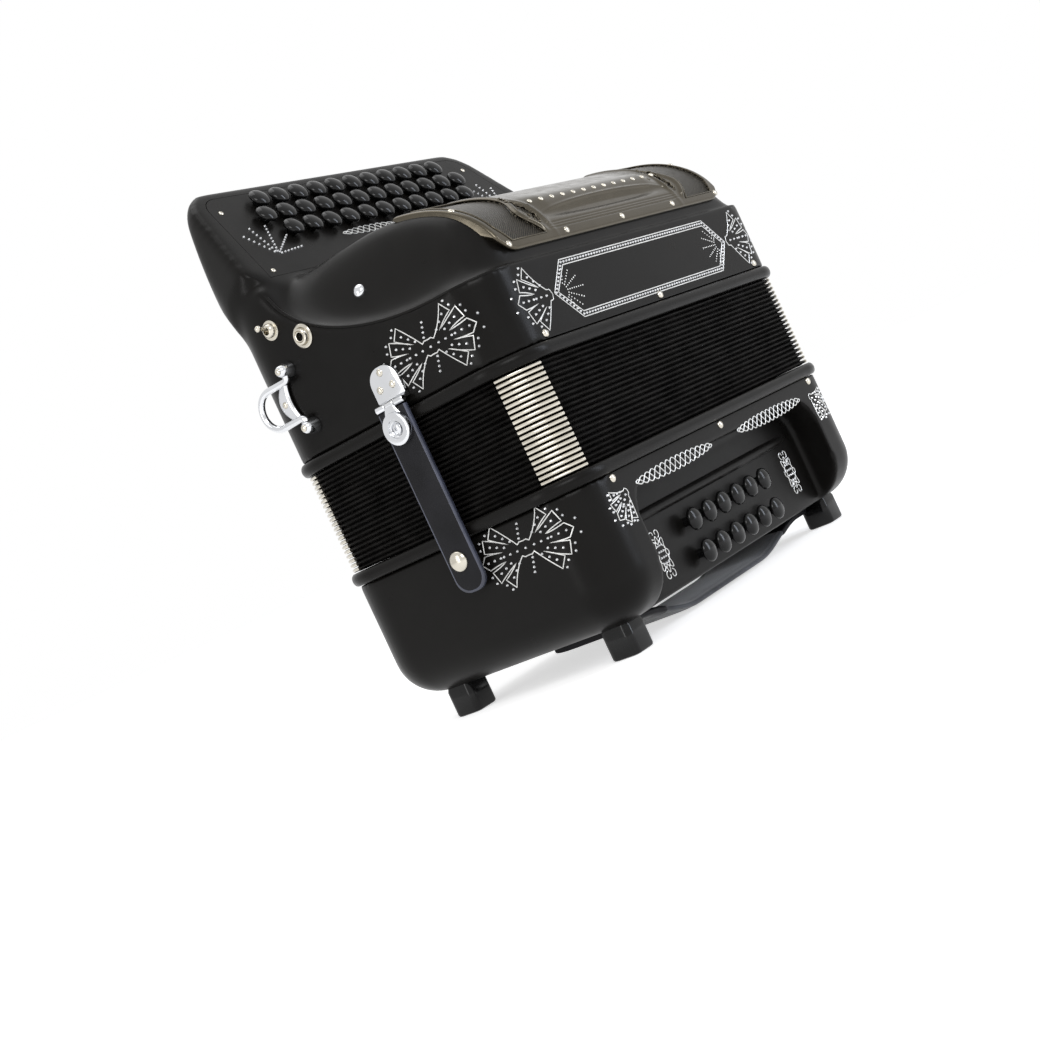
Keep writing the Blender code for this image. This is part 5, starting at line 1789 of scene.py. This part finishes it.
class ACCORDION_OT_treble_grille(bpy.types.Operator):
    """Make the grille with its wire mesh, studs and screws"""

    bl_idname = "accordion.treble_grille"
    bl_label = "Treble grille"

    def execute(self, context):
        treble_grille(context.scene.accordion_shape)
        return {"FINISHED"}


class ACCORDION_OT_keyboard(bpy.types.Operator):
    """Finish the plate and make its buttons and screws"""

    bl_idname = "accordion.keyboard"
    bl_label = "Keyboard"

    def execute(self, context):
        keyboard_plate_finish()
        treble_buttons()
        keyboard_screws()
        return {"FINISHED"}


class ACCORDION_OT_bellows(bpy.types.Operator):
    """Make the folds, corner clips, frames and their screws"""

    bl_idname = "accordion.bellows"
    bl_label = "Bellows"

    def execute(self, context):
        shape = context.scene.accordion_shape
        bellows_folds(shape)
        bellows_clips(shape)
        bellows_frames()
        frame_screws()
        return {"FINISHED"}


class ACCORDION_OT_bass_end(bpy.types.Operator):
    """Make the bass end's shell, ledge, feet and buttons"""

    bl_idname = "accordion.bass_end"
    bl_label = "Bass end"

    def execute(self, context):
        bass_case(context.scene.accordion_shape)
        recess_ledge()
        bass_feet()
        bass_buttons()
        return {"FINISHED"}


class ACCORDION_OT_hand_strap(bpy.types.Operator):
    """Make the padded hand strap and its leather ends"""

    bl_idname = "accordion.hand_strap"
    bl_label = "Hand strap"

    def execute(self, context):
        hand_strap()
        return {"FINISHED"}


class ACCORDION_OT_end_fittings(bpy.types.Operator):
    """Make the loop, its bracket, the switch, jack and dome screws"""

    bl_idname = "accordion.end_fittings"
    bl_label = "End fittings"

    def execute(self, context):
        strap_bracket()
        strap_loop()
        switch_and_jack()
        shoulder_screws()
        return {"FINISHED"}


class ACCORDION_OT_bellows_strap(bpy.types.Operator):
    """Make the strap that holds the bellows shut, with its hinge"""

    bl_idname = "accordion.bellows_strap"
    bl_label = "Bellows strap"

    def execute(self, context):
        strap_hinge()
        strap_leather()
        strap_ring()
        strap_stud()
        return {"FINISHED"}


class ACCORDION_OT_ornament(bpy.types.Operator):
    """Make the silver lines and the set stones"""

    bl_idname = "accordion.ornament"
    bl_label = "Ornament"

    def execute(self, context):
        shape = context.scene.accordion_shape
        treble_ornament(shape)
        bass_ornament(shape)
        return {"FINISHED"}


OPERATORS = (
    ACCORDION_OT_stage,
    ACCORDION_OT_treble_case,
    ACCORDION_OT_treble_grille,
    ACCORDION_OT_keyboard,
    ACCORDION_OT_bellows,
    ACCORDION_OT_bass_end,
    ACCORDION_OT_hand_strap,
    ACCORDION_OT_end_fittings,
    ACCORDION_OT_bellows_strap,
    ACCORDION_OT_ornament,
)


class ACCORDION_PT_panel(bpy.types.Panel):
    """The accordion's pieces, sizes and colours"""

    bl_idname = "ACCORDION_PT_panel"
    bl_label = "Button accordion"
    bl_space_type = "VIEW_3D"
    bl_region_type = "UI"
    bl_category = "Accordion"

    def draw(self, context):
        layout = self.layout
        for operator in OPERATORS:
            layout.operator(operator.bl_idname)
        for group in (context.scene.accordion_shape, context.scene.accordion_finish):
            column = layout.column(align=True)
            for name in group.__annotations__:
                column.prop(group, name)


CLASSES = (AccordionShape, AccordionFinish) + OPERATORS + (ACCORDION_PT_panel,)


def register():
    for made in CLASSES:
        bpy.utils.register_class(made)
    bpy.types.Scene.accordion_shape = PointerProperty(type=AccordionShape)
    bpy.types.Scene.accordion_finish = PointerProperty(type=AccordionFinish)


def unregister():
    del bpy.types.Scene.accordion_finish
    del bpy.types.Scene.accordion_shape
    for made in reversed(CLASSES):
        bpy.utils.unregister_class(made)


def main():
    register()
    bpy.ops.accordion.stage()
    bpy.ops.accordion.treble_case()
    bpy.ops.accordion.treble_grille()
    bpy.ops.accordion.keyboard()
    bpy.ops.accordion.bellows()
    bpy.ops.accordion.bass_end()
    bpy.ops.accordion.hand_strap()
    bpy.ops.accordion.end_fittings()
    bpy.ops.accordion.bellows_strap()
    bpy.ops.accordion.ornament()
    bounds = {"cad": CAD_BOUNDS, "visual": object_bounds()}
    {key: [list(map(float, corner)) for corner in value] for key, value in bounds.items()}


if __name__ == "__main__":
    main()
